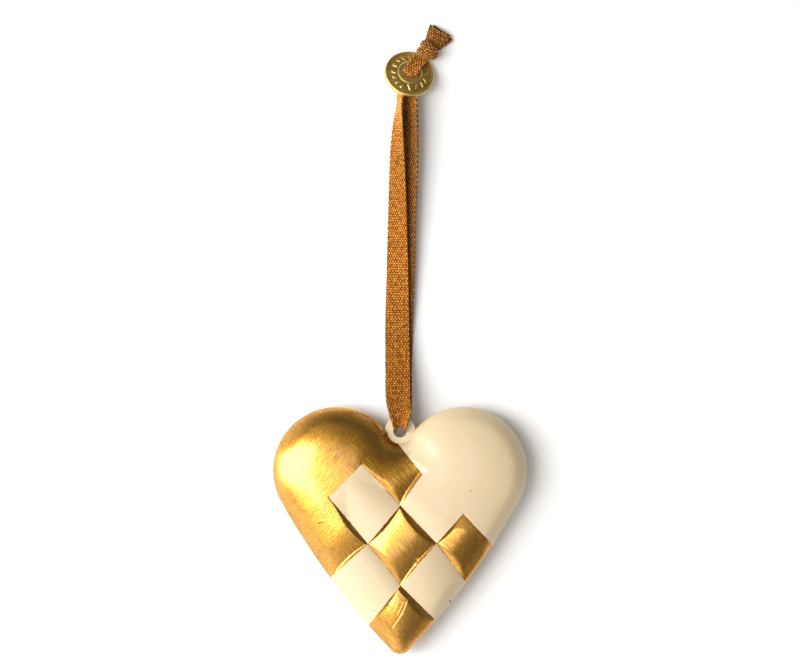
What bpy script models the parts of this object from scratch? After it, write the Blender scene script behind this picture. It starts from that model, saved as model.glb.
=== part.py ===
"""A puffed metal heart painted as a woven paper heart, lying on its back with its ribbon and its brass disc.

The origin is on the table, below the middle of the heart's box. +Y runs from the tip towards the
ribbon, +X to the right of the front face and +Z up, out of the front face.
"""

import math

import bmesh
import bpy
import numpy as np
from mathutils import Matrix, Vector
from mathutils.geometry import delaunay_2d_cdt

MM = 0.001

# Heart, two pressed shells joined at a thin seam, in metres
HEART_WIDTH = 0.0635
HEART_HEIGHT = 0.06175
HEART_THICKNESS = 0.0112
SEAM_THICKNESS = 0.0008
TIP_RADIUS = 0.003
SIDE_RADIUS = 0.18
SHOULDER = 0.017
WEAVE_DEPTH = 0.00095
WALL_SLOPE = 1.1
CORNER_ROUNDING = 0.00032
RELIEF_FADE = 0.0035
REST_FLAT_DEPTH = 0.0003

# Round tab in the notch, with the hole for the ribbon; each lobe bites a little into its land
TAB_RADIUS = 0.0038
TAB_HOLE_RADIUS = 0.00172
TAB_LAND = 0.0015
LOBE_BITE = 0.000346

# Ribbon
RIBBON_WIDTH = 0.0062
RIBBON_THICKNESS = 0.0004
GATHERED_WIDTH = 0.0031
CLEARANCE = 0.0003
KNOT_RADIUS = 0.0018
KNOT_ROUND = 0.00105
KNOT_HEIGHT = 0.00275
TAIL_LENGTH = 0.0056

# Brass disc, leaning from the table up to the ribbon's edge
DISC_DIAMETER = 0.0125
DISC_THICKNESS = 0.0007
DISC_RIM_WIDTH = 0.0008
DISC_RIM_HEIGHT = 0.00025
DISC_DOME = 0.0006
DISC_HOLE_RADIUS = 0.0019
DISC_TILT = math.radians(28)
DISC_AXIS_TURN = math.radians(-25)
DISC_FROM_TAB = (0.0023, 0.0892)

# Mesh fineness; the shares are where points lie across a woven strip
OUTLINE_STEP = 0.0021
LOBE_STEP = 0.0028
LEAST_SPACING = 0.00025
MERGE_DISTANCE = 0.00001
RIM_ROWS = (0.0004, 0.0011, 0.0022, 0.0038)
WOVEN_SHARES = (0.0, 0.04, 0.09, 0.18, 0.34, 0.5, 0.66, 0.82, 0.91, 0.96)
STRIP_SEGMENTS = 6
STRIP_PARTS = 2
DISC_STEPS = 32
DISTANCE_POWER = 6.0
NEWTON_STEPS = 12

# The lattice of the weave as shares of half the heart's width, [edge of strip A][edge of strip B].
# The A edges run down to the right and the B edges down to the left, as laid by hand.
LATTICE = np.array(
    [
        [(0.0, -1.027), (-0.244, -0.737), (-0.540, -0.361), (-0.806, 0.019)],
        [(0.263, -0.687), (0.003, -0.424), (-0.252, -0.098), (-0.554, 0.265)],
        [(0.515, -0.403), (0.287, -0.094), (0.003, 0.202), (-0.301, 0.526)],
        [(0.732, -0.113), (0.494, 0.139), (0.176, 0.447), (-0.071, 0.753)],
    ]
)
STRIPS = 3
LOBE_FADE_FROM = 2.3
POCKET_FADE_FROM = 0.3
DIVE_POWER = 0.75

HALF_WIDTH = HEART_WIDTH / 2
HALF_HEIGHT = HEART_HEIGHT / 2
LOBE_RADIUS = HALF_WIDTH / 2
LOBE_CENTRE = Vector((HALF_WIDTH - LOBE_RADIUS, HALF_HEIGHT - LOBE_RADIUS))
SEAM_HEIGHT = HEART_THICKNESS / 2 - REST_FLAT_DEPTH
TIP_CENTRE = Vector((0.0, TIP_RADIUS - HALF_HEIGHT))
NOTCH_RADIUS = TAB_HOLE_RADIUS + TAB_LAND
TAB_REACH = LOBE_RADIUS + NOTCH_RADIUS - LOBE_BITE
TAB_CENTRE = Vector((0.0, LOBE_CENTRE.y + math.sqrt(TAB_REACH**2 - LOBE_CENTRE.x**2)))
DOME_HEIGHT = (HEART_THICKNESS - SEAM_THICKNESS) / 2 - WEAVE_DEPTH
DISC_RADIUS = DISC_DIAMETER / 2


def arc(centre, radius, start, end, step):
    """Points along an arc from one angle to another, without its last point."""
    count = max(2, round(abs(end - start) * radius / step))
    angles = start + (end - start) * np.arange(count) / count
    return [centre + radius * Vector((math.cos(a), math.sin(a))) for a in angles]


def side_arc():
    """The gently curved right side: its centre, and its angles where it leaves the tip and meets the lobe."""
    between = LOBE_CENTRE - TIP_CENTRE
    ahead = between.normalized()
    from_tip, from_lobe = SIDE_RADIUS - TIP_RADIUS, SIDE_RADIUS - LOBE_RADIUS
    along = (from_tip**2 - from_lobe**2 + between.length_squared) / (2 * between.length)
    inward = math.sqrt(from_tip**2 - along**2)
    centre = TIP_CENTRE + along * ahead + inward * Vector((-ahead.y, ahead.x))
    to_tip, to_lobe = TIP_CENTRE - centre, LOBE_CENTRE - centre
    return centre, math.atan2(to_tip.y, to_tip.x), math.atan2(to_lobe.y, to_lobe.x)


def meeting_angles(radius):
    """Where the right lobe meets a circle about the tab: its angle on the lobe and on that circle."""
    between = TAB_CENTRE - LOBE_CENTRE
    apart = between.length
    reach = (apart**2 + LOBE_RADIUS**2 - radius**2) / (2 * apart * LOBE_RADIUS)
    on_lobe = math.atan2(between.y, between.x) - math.acos(reach)
    point = LOBE_CENTRE + LOBE_RADIUS * Vector((math.cos(on_lobe), math.sin(on_lobe)))
    outward = point - TAB_CENTRE
    return on_lobe, math.atan2(outward.y, outward.x)


def heart_outline(over_the_tab, step):
    """The closed outline, counter-clockwise from the tip, as points in the seam's plane.

    It runs over the tab, or else under its hole, where the domes of the two shells end.
    """
    side_centre, at_tip, at_lobe = side_arc()
    at_tab, on_tab = meeting_angles(TAB_RADIUS)
    half = arc(TIP_CENTRE, TIP_RADIUS, -math.pi / 2, at_tip, step)
    half += arc(side_centre, SIDE_RADIUS, at_tip, at_lobe, step)
    half += arc(LOBE_CENTRE, LOBE_RADIUS, at_lobe, at_tab, step)
    half.append(LOBE_CENTRE + LOBE_RADIUS * Vector((math.cos(at_tab), math.sin(at_tab))))
    if over_the_tab:
        half += arc(TAB_CENTRE, TAB_RADIUS, on_tab, math.pi / 2, TAB_RADIUS / 4)[1:]
        half.append(TAB_CENTRE + Vector((0.0, TAB_RADIUS)))
    else:
        at_notch, on_notch = meeting_angles(NOTCH_RADIUS)
        half += arc(LOBE_CENTRE, LOBE_RADIUS, at_tab, at_notch, NOTCH_RADIUS / 4)[1:]
        half += arc(TAB_CENTRE, NOTCH_RADIUS, on_notch, -math.pi / 2, NOTCH_RADIUS / 4)
        half.append(TAB_CENTRE - Vector((0.0, NOTCH_RADIUS)))
    mirrored = [Vector((-p.x, p.y)) for p in reversed(half[1:-1])]
    return np.array([tuple(p) for p in half + mirrored])


def smooth_depth(points, outline):
    """How deep each point lies inside an outline: a power mean of its distances, with no ridges."""
    ends = np.roll(outline, -1, axis=0)
    middles = (outline + ends) / 2
    lengths = np.linalg.norm(ends - outline, axis=1)
    apart = np.linalg.norm(points[:, None] - middles[None], axis=2)
    apart = np.maximum(apart, lengths[None] / 2)
    mean = (lengths[None] * apart**-DISTANCE_POWER).sum(1) ** (-1 / (DISTANCE_POWER - 1))
    half_power = DISTANCE_POWER / 2
    straight = math.sqrt(math.pi) * math.gamma(half_power - 0.5) / math.gamma(half_power)
    return mean * straight ** (1 / (DISTANCE_POWER - 1))


def edge_distance(points, outline):
    """How far each point lies from the nearest side of a closed outline."""
    side = np.roll(outline, -1, axis=0) - outline
    from_start = points[:, None] - outline[None]
    along = (from_start * side).sum(2) / (side**2).sum(1)
    nearest = side * np.clip(along, 0.0, 1.0)[..., None]
    return np.linalg.norm(from_start - nearest, axis=2).min(1)


def inside(points, outline):
    """Whether each point lies inside a closed outline, by counting the sides a ray crosses."""
    x, y = points[:, 0, None], points[:, 1, None]
    x0, y0 = outline[:, 0], outline[:, 1]
    x1, y1 = np.roll(x0, -1), np.roll(y0, -1)
    spans = (y0 > y) != (y1 > y)
    rise = np.where(y1 == y0, 1.0, y1 - y0)
    crossing = x0 + (y - y0) * (x1 - x0) / rise
    return ((spans & (x < crossing)).sum(1) % 2).astype(bool)


def smooth_step(value, low, high):
    """0 below low, 1 above high and a smooth curve between."""
    t = np.clip((value - low) / (high - low), 0.0, 1.0)
    return t * t * (3.0 - 2.0 * t)


def lattice_point(a, b):
    """Where lattice coordinates lie on the heart: whole numbers are the strips' edges."""
    grid = LATTICE * HALF_WIDTH
    i = np.clip(np.floor(a), 0, STRIPS - 1).astype(int)
    j = np.clip(np.floor(b), 0, STRIPS - 1).astype(int)
    s, t = (a - i)[..., None], (b - j)[..., None]
    near = grid[i, j] * (1 - t) + grid[i, j + 1] * t
    far = grid[i + 1, j] * (1 - t) + grid[i + 1, j + 1] * t
    along_a = far - near
    along_b = (grid[i, j + 1] - grid[i, j]) * (1 - s) + (grid[i + 1, j + 1] - grid[i + 1, j]) * s
    return near + along_a * s, along_a, along_b


def lattice_coordinates(points):
    """The lattice coordinates of points on the heart, by Newton's method."""
    a = np.full(len(points), STRIPS / 2)
    b = np.full(len(points), STRIPS / 2)
    for _ in range(NEWTON_STEPS):
        place, along_a, along_b = lattice_point(a, b)
        miss = points - place
        area = along_a[:, 0] * along_b[:, 1] - along_a[:, 1] * along_b[:, 0]
        step_a = (miss[:, 0] * along_b[:, 1] - miss[:, 1] * along_b[:, 0]) / area
        step_b = (along_a[:, 0] * miss[:, 1] - along_a[:, 1] * miss[:, 0]) / area
        a = a + np.clip(step_a, -1.0, 1.0)
        b = b + np.clip(step_b, -1.0, 1.0)
    return a, b


def dive(along, opens_to_lobe):
    """The height share of a strip along its own run, low where it goes under the next strip."""
    arch = np.maximum(np.sin(np.pi * np.clip(along, 0.0, 1.0)), 0.0) ** DIVE_POWER
    return np.where(opens_to_lobe & (along > 0.5), 1.0, arch)


def lower_of(first, second, blend):
    """The lower of two heights, with the corner between them rounded."""
    mix = np.clip(0.5 + 0.5 * (second - first) / blend, 0.0, 1.0)
    return second * (1 - mix) + first * mix - blend * mix * (1 - mix)


def weave_height(points):
    """The height of the woven strips above the lattice's low corners, at points in the plane."""
    a, b = lattice_coordinates(points)
    i = np.clip(np.floor(a), 0, STRIPS - 1).astype(int)
    j = np.clip(np.floor(b), 0, STRIPS - 1).astype(int)
    s, t = a - i, b - j
    side = np.sqrt(abs(np.linalg.det(np.stack(lattice_point(i + 0.5, j + 0.5)[1:], axis=1))))
    runs_down_right = (i + j) % 2 == 0
    along = np.where(runs_down_right, t, s)
    across = np.where(runs_down_right, s, t)
    opens = np.where(runs_down_right, j == STRIPS - 1, i == STRIPS - 1)
    left_fade = smooth_step(b, LOBE_FADE_FROM, STRIPS)
    right_fade = np.where(b < 1.0, smooth_step(a, LOBE_FADE_FROM, STRIPS), 0.0)
    fade = np.maximum(left_fade, right_fade)
    strip = WEAVE_DEPTH * np.maximum(dive(along, opens), fade)
    low_wall = WEAVE_DEPTH * fade + WALL_SLOPE * side * across
    flush = np.where(runs_down_right, i == STRIPS - 1, j == STRIPS - 1)
    high_wall = WEAVE_DEPTH * fade + WALL_SLOPE * side * (1 - across) + flush
    height = lower_of(strip, low_wall, CORNER_ROUNDING)
    height = lower_of(height, high_wall, CORNER_ROUNDING)
    beside = np.clip(b, STRIPS - 1, STRIPS) - (STRIPS - 1)
    open_end = smooth_step(beside, POCKET_FADE_FROM, 1.0)
    pocket = WEAVE_DEPTH * np.maximum(dive(beside, beside >= 0), open_end)
    away = np.hypot(a - STRIPS, np.minimum(b - (STRIPS - 1), 0.0)) * side
    level = np.full_like(pocket, WEAVE_DEPTH)
    lobe = lower_of(pocket + WALL_SLOPE * away, level, CORNER_ROUNDING)
    height = np.where(a > STRIPS, lobe, height)
    return np.where(b > STRIPS, WEAVE_DEPTH, np.maximum(height, 0.0))


def shell_height(points):
    """Half the heart's thickness at points in the seam's plane."""
    depth = smooth_depth(points, heart_outline(False, OUTLINE_STEP / 4))
    body = heart_outline(False, OUTLINE_STEP)
    depth = np.minimum(depth, edge_distance(points, body))
    depth = np.where(inside(points, body), depth, 0.0)
    share = np.clip(depth / SHOULDER, 0.0, 1.0)
    dome = DOME_HEIGHT * np.sqrt(1 - (1 - share) ** 2)
    relief = weave_height(points) * smooth_step(depth, 0.0, RELIEF_FADE)
    return SEAM_THICKNESS / 2 + dome + relief


def inner_rows(outline):
    """Points in rows a little inside the outline, where the dome is steep."""
    before = np.roll(outline, 1, axis=0)
    after = np.roll(outline, -1, axis=0)
    run = after - before
    inward = np.stack([-run[:, 1], run[:, 0]], axis=1)
    inward = inward / np.linalg.norm(inward, axis=1)[:, None]
    return np.concatenate([outline + inward * row for row in RIM_ROWS])


def woven_points():
    """Points on the woven strips, closer together along the strips' edges."""
    values = [i + share for i in range(STRIPS) for share in WOVEN_SHARES] + [float(STRIPS)]
    a, b = np.meshgrid(values, values, indexing="ij")
    return lattice_point(a.ravel(), b.ravel())[0]


def lobe_points():
    """Evenly spaced points over the plain lobes."""
    rows = np.arange(-HALF_HEIGHT, HALF_HEIGHT, LOBE_STEP * math.sqrt(3) / 2)
    columns = np.arange(-HALF_WIDTH, HALF_WIDTH, LOBE_STEP)
    found = [(x + (k % 2) * LOBE_STEP / 2, y) for k, y in enumerate(rows) for x in columns]
    points = np.array(found)
    a, b = lattice_coordinates(points)
    return points[np.maximum(a, b) > STRIPS + WOVEN_SHARES[2]]


def spaced(points, gap):
    """The points without those that lie closer than the gap to an earlier one."""
    chosen = points[:1]
    for point in points[1:]:
        if np.linalg.norm(chosen - point, axis=1).min() > gap:
            chosen = np.concatenate([chosen, point[None]])
    return chosen


def heart_sheet_points():
    """Every point of the flat heart, the edges that have to stay in it, and its outline."""
    outline = heart_outline(True, OUTLINE_STEP)
    body = heart_outline(False, OUTLINE_STEP)
    hole = np.array(arc(TAB_CENTRE, TAB_HOLE_RADIUS, 0.0, math.tau, TAB_HOLE_RADIUS / 3))
    rows = inner_rows(body)
    kept = [rows[edge_distance(rows, body) > RIM_ROWS[0] * 0.7]]
    kept += [p[edge_distance(p, body) > RIM_ROWS[-1] * 1.2] for p in (woven_points(), lobe_points())]
    kept = spaced(np.concatenate([p[inside(p, body)] for p in kept]), LEAST_SPACING)
    edges = []
    start = 0
    for loop in (outline, hole, body):
        edges += [(start + k, start + (k + 1) % len(loop)) for k in range(len(loop))]
        start += len(loop)
    return np.concatenate([outline, hole, body, kept]), edges, outline


def finished(name, mesh, material):
    """A new object in the ornament's collection."""
    found = bpy.data.objects.new(name, mesh)
    found.data.materials.append(material)
    bpy.data.collections["christmas_heart_ornament"].objects.link(found)
    return found


def painted_metal():
    """Gold and cream paint on pressed metal; the solid carries the gold."""
    return plain_material("painted_metal", (0.60, 0.36, 0.09, 1.0), 0.32, 0.8)


def woven_ribbon():
    """Caramel ribbon in plain weave."""
    return plain_material("woven_ribbon", (0.42, 0.20, 0.03, 1.0), 0.6, 0.0)


def stamped_brass():
    """Stamped brass with a soft shine."""
    return plain_material("stamped_brass", (0.40, 0.29, 0.08, 1.0), 0.3, 1.0)


def plain_material(name, colour, roughness, metallic):
    """One Principled material."""
    material = bpy.data.materials.new(name)
    material.use_nodes = True
    shader = material.node_tree.nodes["Principled BSDF"]
    shader.inputs["Base Color"].default_value = colour
    shader.inputs["Roughness"].default_value = roughness
    shader.inputs["Metallic"].default_value = metallic
    return material


def smooth(mesh, angle):
    """Shades a mesh smooth, with sharp edges where its faces turn by more than the angle."""
    mesh.shade_smooth()
    mesh.set_sharp_from_angle(angle=angle)


def heart():
    """The heart: a flat sheet cut to the outline, made two-sided and raised to both shells."""
    points, edges, outline = heart_sheet_points()
    flat, _, faces, *_ = delaunay_2d_cdt([Vector(p) for p in points], edges, [], 0, MERGE_DISTANCE)
    flat = np.array([tuple(p) for p in flat])
    middles = np.array([flat[list(face)].mean(0) for face in faces])
    from_hole = np.linalg.norm(middles - np.array(TAB_CENTRE), axis=1)
    keep = inside(middles, outline) & (from_hole > TAB_HOLE_RADIUS * 0.99)
    sheet = bmesh.new()
    corners = [sheet.verts.new((*p, 0.0)) for p in flat]
    for face, wanted in zip(faces, keep, strict=True):
        if wanted:
            sheet.faces.new([corners[k] for k in face])
    loose = [v for v in sheet.verts if not v.link_faces]
    bmesh.ops.delete(sheet, geom=loose, context="VERTS")
    front = list(sheet.verts)
    made = bmesh.ops.extrude_face_region(sheet, geom=list(sheet.faces), use_keep_orig=True)
    back = [v for v in made["geom"] if isinstance(v, bmesh.types.BMVert)]
    rest = np.array([tuple(v.co.xy) for v in front])
    for vertex, height in zip(front, shell_height(rest), strict=True):
        vertex.co.z = SEAM_HEIGHT + height
    rest = np.array([tuple(v.co.xy) for v in back])
    for vertex, height in zip(back, shell_height(rest), strict=True):
        vertex.co.z = max(0.0, SEAM_HEIGHT - height)
    bmesh.ops.recalc_face_normals(sheet, faces=list(sheet.faces))
    mesh = bpy.data.meshes.new("heart")
    sheet.to_mesh(mesh)
    sheet.free()
    smooth(mesh, math.radians(35))
    return finished("heart", mesh, painted_metal())


def disc_frame():
    """The disc's middle and its three directions: along its level line, down its slope, outward."""
    level = Vector((math.cos(DISC_AXIS_TURN), math.sin(DISC_AXIS_TURN), 0.0))
    across = Vector((-level.y, level.x, 0.0))
    down = across * math.cos(DISC_TILT) - Vector((0.0, 0.0, math.sin(DISC_TILT)))
    outward = level.cross(down)
    foot = DISC_RADIUS * math.sin(DISC_TILT) + DISC_THICKNESS / 2 * math.cos(DISC_TILT)
    place = TAB_CENTRE + Vector(DISC_FROM_TAB)
    return Vector((*place, foot)), level, down, outward


def disc():
    """The brass disc: a washer with a low dome and a raised rim, turned about its axis."""
    half = DISC_THICKNESS / 2
    rim_top = half + DISC_RIM_HEIGHT
    rim_inside = DISC_RADIUS - DISC_RIM_WIDTH
    lip = DISC_HOLE_RADIUS
    step = (rim_inside - lip) / 5
    slope = [lip + step * k for k in range(6)]
    crown = [DISC_DOME * (1 - ((r - lip) / (rim_inside - lip)) ** 2) for r in slope]
    profile = [(r, half + c) for r, c in zip(slope, crown, strict=True)]
    profile += [(rim_inside + DISC_RIM_WIDTH * 0.25, rim_top)]
    profile += [(DISC_RADIUS - DISC_RIM_WIDTH * 0.25, rim_top), (DISC_RADIUS, half)]
    profile += [(DISC_RADIUS, -half)]
    profile += [(r, c - half) for r, c in zip(reversed(slope), reversed(crown), strict=True)]
    ring = bmesh.new()
    loop = [ring.verts.new((r, 0.0, z)) for r, z in profile]
    for k, vertex in enumerate(loop):
        ring.edges.new((vertex, loop[(k + 1) % len(loop)]))
    mesh = bpy.data.meshes.new("disc")
    ring.to_mesh(mesh)
    ring.free()
    made = finished("disc", mesh, stamped_brass())
    turn = made.modifiers.new("turned", "SCREW")
    turn.steps = DISC_STEPS
    turn.render_steps = DISC_STEPS
    turn.use_merge_vertices = True
    turn.merge_threshold = MERGE_DISTANCE
    turn.use_normal_calculate = True
    middle, level, down, outward = disc_frame()
    turned = Matrix((level, down, outward)).transposed().to_4x4()
    made.matrix_world = Matrix.Translation(middle) @ turned
    return made


def on_disc(along, slope, above):
    """A point beside the disc's middle, in millimetres along its three directions."""
    middle, level, down, outward = disc_frame()
    return middle + MM * (along * level + slope * down + above * outward)


def beyond_tab(x, y, z):
    """A point in millimetres from the tab's centre, at a height above the table."""
    return Vector((TAB_CENTRE.x + x * MM, TAB_CENTRE.y + y * MM, z * MM))


def by_tab(y, z):
    """A point in millimetres from the hole's centre, at a height from the seam."""
    return Vector((TAB_CENTRE.x, TAB_CENTRE.y + y * MM, SEAM_HEIGHT + z * MM))


def rolled(degrees):
    """The direction across a ribbon that runs along Y and is tipped to the left."""
    turn = math.radians(degrees)
    return Vector((math.cos(turn), 0.0, math.sin(turn)))


def knot_centre():
    """The middle of the knot, past the disc's low edge."""
    return beyond_tab(7.1, 95.1, KNOT_HEIGHT / MM)


def ribbon_route():
    """The ribbon's loop from the knot and back: (point, direction across, width, curl)."""
    level = disc_frame()[1]
    knot = knot_centre()
    wide = RIBBON_WIDTH
    slim = GATHERED_WIDTH
    folded = slim * 1.08
    in_hole = (TAB_HOLE_RADIUS - CLEARANCE - RIBBON_THICKNESS / 2) / MM
    curled = in_hole * MM * math.radians(225)
    front = [
        (knot + Vector((-0.1, -0.2, 0.4)) * MM, level, folded, 0),
        (on_disc(1.15, 4.9, 2.5), level, folded, 10),
        (on_disc(0.6, 2.6, 2.45), level, folded, 20),
        (on_disc(0.3, 0.9, 2.25), level, folded, 10),
        (on_disc(0.1, -0.35, 1.55), level, slim, -60),
        (on_disc(0.0, -0.6, 0.5), level, slim, -110),
        (on_disc(0.0, -0.6, -0.5), level, slim, -90),
        (beyond_tab(1.65, 87.5, 2.35), Vector((0.85, -0.4, 0.3)), slim * 1.15, 0),
        (beyond_tab(1.1, 86.2, 2.1), Vector((0.7, -0.2, 0.65)), 0.0038, 0),
        (beyond_tab(0.5, 84.6, 2.35), Vector((0.42, -0.05, 0.9)), 0.0044, 0),
        (beyond_tab(0.0, 82.4, 3.0), rolled(78), 0.0056, 0),
        (beyond_tab(-0.5, 76.4, 3.15), rolled(67), wide, 0),
        (beyond_tab(-0.65, 68.4, 2.8), rolled(54), wide, 0),
        (beyond_tab(-0.62, 56.4, 2.45), rolled(43), wide, 0),
        (beyond_tab(-0.62, 48.4, 2.2), rolled(36), wide, 0),
        (beyond_tab(-0.62, 38.4, 1.85), rolled(27), wide, 0),
        (beyond_tab(-0.7, 27.4, 1.75), rolled(14), wide, 0),
        (beyond_tab(-0.65, 20.4, 2.5), rolled(8), wide, 0),
        (beyond_tab(-0.6, 14.4, 4.0), rolled(4), wide, 5),
        (beyond_tab(-0.5, 8.4, 6.0), rolled(0), wide, 20),
        (by_tab(4.6, 1.85), rolled(0), wide * 0.93, 60),
        (by_tab(2.7, 2.15), rolled(0), wide * 0.85, 115),
        (by_tab(1.35, 1.85), rolled(0), wide * 0.78, 185),
        (by_tab(0.45, 1.0), rolled(0), curled, 225),
    ]
    middle = [(by_tab(0.36, 0.0), rolled(0), curled, 225)]
    back = [
        (by_tab(0.45, -1.0), rolled(0), curled, 225),
        (by_tab(1.35, -1.85), rolled(0), wide * 0.78, 185),
        (by_tab(2.7, -2.3), rolled(0), wide * 0.85, 115),
        (by_tab(4.6, -2.7), rolled(0), wide * 0.93, 50),
        (beyond_tab(-0.1, 8.4, 1.9), rolled(0), wide, 10),
        (beyond_tab(-0.15, 14.4, 0.9), rolled(0), wide, 0),
        (beyond_tab(0.0, 20.4, 0.5), rolled(3), wide, 0),
        (beyond_tab(0.18, 26.4, 0.75), rolled(8), wide, 0),
        (beyond_tab(0.7, 38.4, 1.25), rolled(18), wide, 0),
        (beyond_tab(1.09, 48.4, 1.65), rolled(26), wide, 0),
        (beyond_tab(1.55, 56.4, 2.0), rolled(34), wide, 0),
        (beyond_tab(2.27, 68.4, 2.45), rolled(44), wide, 0),
        (beyond_tab(2.5, 76.4, 2.7), rolled(50), wide, 0),
        (beyond_tab(2.6, 82.4, 2.8), rolled(55), 0.0058, 0),
        (beyond_tab(2.6, 84.3, 2.35), Vector((0.72, -0.1, 0.62)), 0.0044, 0),
        (beyond_tab(2.5, 85.9, 1.6), Vector((0.78, -0.25, 0.55)), 0.0041, 0),
        (beyond_tab(2.35, 87.3, 1.25), Vector((0.88, -0.4, 0.2)), 0.0033, 0),
        (on_disc(0.1, 0.3, -1.9), level, slim, -20),
        (on_disc(0.0, 0.55, -1.0), level, slim, -80),
        (on_disc(0.0, 0.6, 0.2), level, slim, -110),
        (on_disc(0.05, 0.7, 1.1), level, slim * 0.88, -50),
        (on_disc(0.2, 1.5, 1.66), level, slim * 0.94, 0),
        (on_disc(0.4, 2.5, 1.6), level, folded, 10),
        (on_disc(1.0, 4.7, 1.7), level, folded, 10),
        (knot + Vector((0.1, 0.2, -0.4)) * MM, level, folded, 0),
    ]
    return front + middle + back


def tail_route(turn, drop):
    """One cut end of the ribbon, fanning out of the knot: (point, direction across, width, curl)."""
    heading = math.radians(58 + turn)
    ahead = Vector((math.cos(heading), math.sin(heading), 0.0))
    across = Vector((ahead.y, -ahead.x, 0.0))
    start = knot_centre() - Vector((0.0, 0.0, drop * 0.5))
    end = start + ahead * TAIL_LENGTH - Vector((0.0, 0.0, drop))
    stops = ((0.0, 0.45, 20), (0.35, 0.66, 40), (0.7, 0.86, 25), (1.0, 0.98, 15))
    return [(start.lerp(end, far), across, RIBBON_WIDTH * share, curl) for far, share, curl in stops]


def curve_through(values, parts):
    """Catmull-Rom curve through rows of values, with that many steps between two rows."""
    rows = np.array(values, float)
    rows = np.concatenate([[2 * rows[0] - rows[1]], rows, [2 * rows[-1] - rows[-2]]])
    made = []
    for k in range(1, len(rows) - 2):
        p, q, r, s = rows[k - 1 : k + 3]
        for t in np.arange(parts) / parts:
            made.append(
                0.5 * (2 * q + (r - p) * t + (2 * p - 5 * q + 4 * r - s) * t**2)
                + 0.5 * (3 * q - p - 3 * r + s) * t**3
            )
    made.append(rows[-2])
    return np.array(made)


def strip(name, route, parts, segments):
    """A ribbon along a route as an open sheet with a thickness, curled across where it is gathered."""
    rows = [(*point, *across.normalized(), width, curl) for point, across, width, curl in route]
    path = curve_through(rows, parts)
    centres = path[:, :3]
    ahead = np.gradient(centres, axis=0)
    ahead = ahead / np.linalg.norm(ahead, axis=1)[:, None]
    across = path[:, 3:6] - ahead * (path[:, 3:6] * ahead).sum(1)[:, None]
    across = across / np.linalg.norm(across, axis=1)[:, None]
    face = np.cross(ahead, across)
    width = path[:, 6]
    curl = np.radians(np.where(abs(path[:, 7]) < 1.0, 1.0, path[:, 7]))
    radius = width / curl
    sheet = bmesh.new()
    grid = []
    for k in range(len(path)):
        angles = curl[k] * (np.arange(segments + 1) / segments - 0.5)
        lift = radius[k] * (1 - np.cos(angles)) - radius[k] * (1 - math.cos(curl[k] / 2)) / 2
        places = centres[k] + np.outer(radius[k] * np.sin(angles), across[k])
        places = places + np.outer(lift, face[k])
        grid.append([sheet.verts.new(tuple(p)) for p in places])
    for near, far in zip(grid, grid[1:], strict=False):
        for k in range(segments):
            sheet.faces.new((near[k], near[k + 1], far[k + 1], far[k]))
    mesh = bpy.data.meshes.new(name)
    sheet.to_mesh(mesh)
    sheet.free()
    return thickened(name, mesh)


def thickened(name, mesh):
    """A helper object with the ribbon's thickness, applied to its mesh."""
    helper = bpy.data.objects.new(name, mesh)
    bpy.data.collections["helpers"].objects.link(helper)
    shell = helper.modifiers.new("thickness", "SOLIDIFY")
    shell.thickness = RIBBON_THICKNESS
    shell.offset = 0.0
    applied = evaluated_mesh(helper)
    helper.modifiers.clear()
    helper.data = applied
    smooth(applied, math.radians(50))
    return helper


def evaluated_mesh(source):
    """The object's mesh with its modifiers applied and its faces pointing out."""
    bpy.context.view_layer.update()
    graph = bpy.context.evaluated_depsgraph_get()
    mesh = bpy.data.meshes.new_from_object(source.evaluated_get(graph))
    cleaned = bmesh.new()
    cleaned.from_mesh(mesh)
    bmesh.ops.recalc_face_normals(cleaned, faces=list(cleaned.faces))
    cleaned.to_mesh(mesh)
    cleaned.free()
    return mesh


def knot():
    """The wrap of the knot and what it holds together, as helper objects."""
    level = disc_frame()[1]
    back = Vector((level.y, -level.x, 0.0))
    made = []
    bpy.ops.mesh.primitive_torus_add(
        major_radius=KNOT_RADIUS,
        minor_radius=KNOT_ROUND,
        major_segments=20,
        minor_segments=10,
    )
    made.append(bpy.context.object)
    bpy.ops.mesh.primitive_uv_sphere_add(segments=16, ring_count=8, radius=KNOT_RADIUS)
    made.append(bpy.context.object)
    squash = Matrix.Diagonal((1.0, 0.72, 1.0, 1.0))
    turned = Matrix((level, Vector((0.0, 0.0, 1.0)), back)).transposed().to_4x4()
    for helper in made:
        helper.data.transform(Matrix.Translation(knot_centre()) @ turned @ squash)
        smooth(helper.data, math.radians(50))
        move_to_helpers(helper)
    return made


def move_to_helpers(helper):
    """Takes an object out of the scene's own collection and puts it with the helpers."""
    for collection in list(helper.users_collection):
        collection.objects.unlink(helper)
    bpy.data.collections["helpers"].objects.link(helper)


def ribbon():
    """The ribbon: its loop, the knot and the two cut ends, joined into one solid."""
    loop = strip("loop", ribbon_route(), STRIP_PARTS, STRIP_SEGMENTS)
    upper = strip("upper_tail", tail_route(0, 1.0 * MM), STRIP_PARTS, 4)
    lower = strip("lower_tail", tail_route(-9, 1.4 * MM), STRIP_PARTS, 4)
    mesh = loop.data.copy()
    mesh.name = "ribbon"
    made = finished("ribbon", mesh, woven_ribbon())
    for helper in [*knot(), upper, lower]:
        joined = made.modifiers.new("with_" + helper.name, "BOOLEAN")
        joined.operation = "UNION"
        joined.object = helper
    return made


def hide_helpers():
    """Marks every helper as a guide that isn't part of the object."""
    for helper in bpy.data.collections["helpers"].objects:
        helper.hide_render = True
        helper.display_type = "WIRE"


def main():
    """Clears the scene and builds the ornament."""
    for old in list(bpy.data.objects):
        bpy.data.objects.remove(old)
    for name in ("christmas_heart_ornament", "helpers"):
        bpy.context.scene.collection.children.link(bpy.data.collections.new(name))
    heart()
    disc()
    ribbon()
    hide_helpers()


main()
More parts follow.
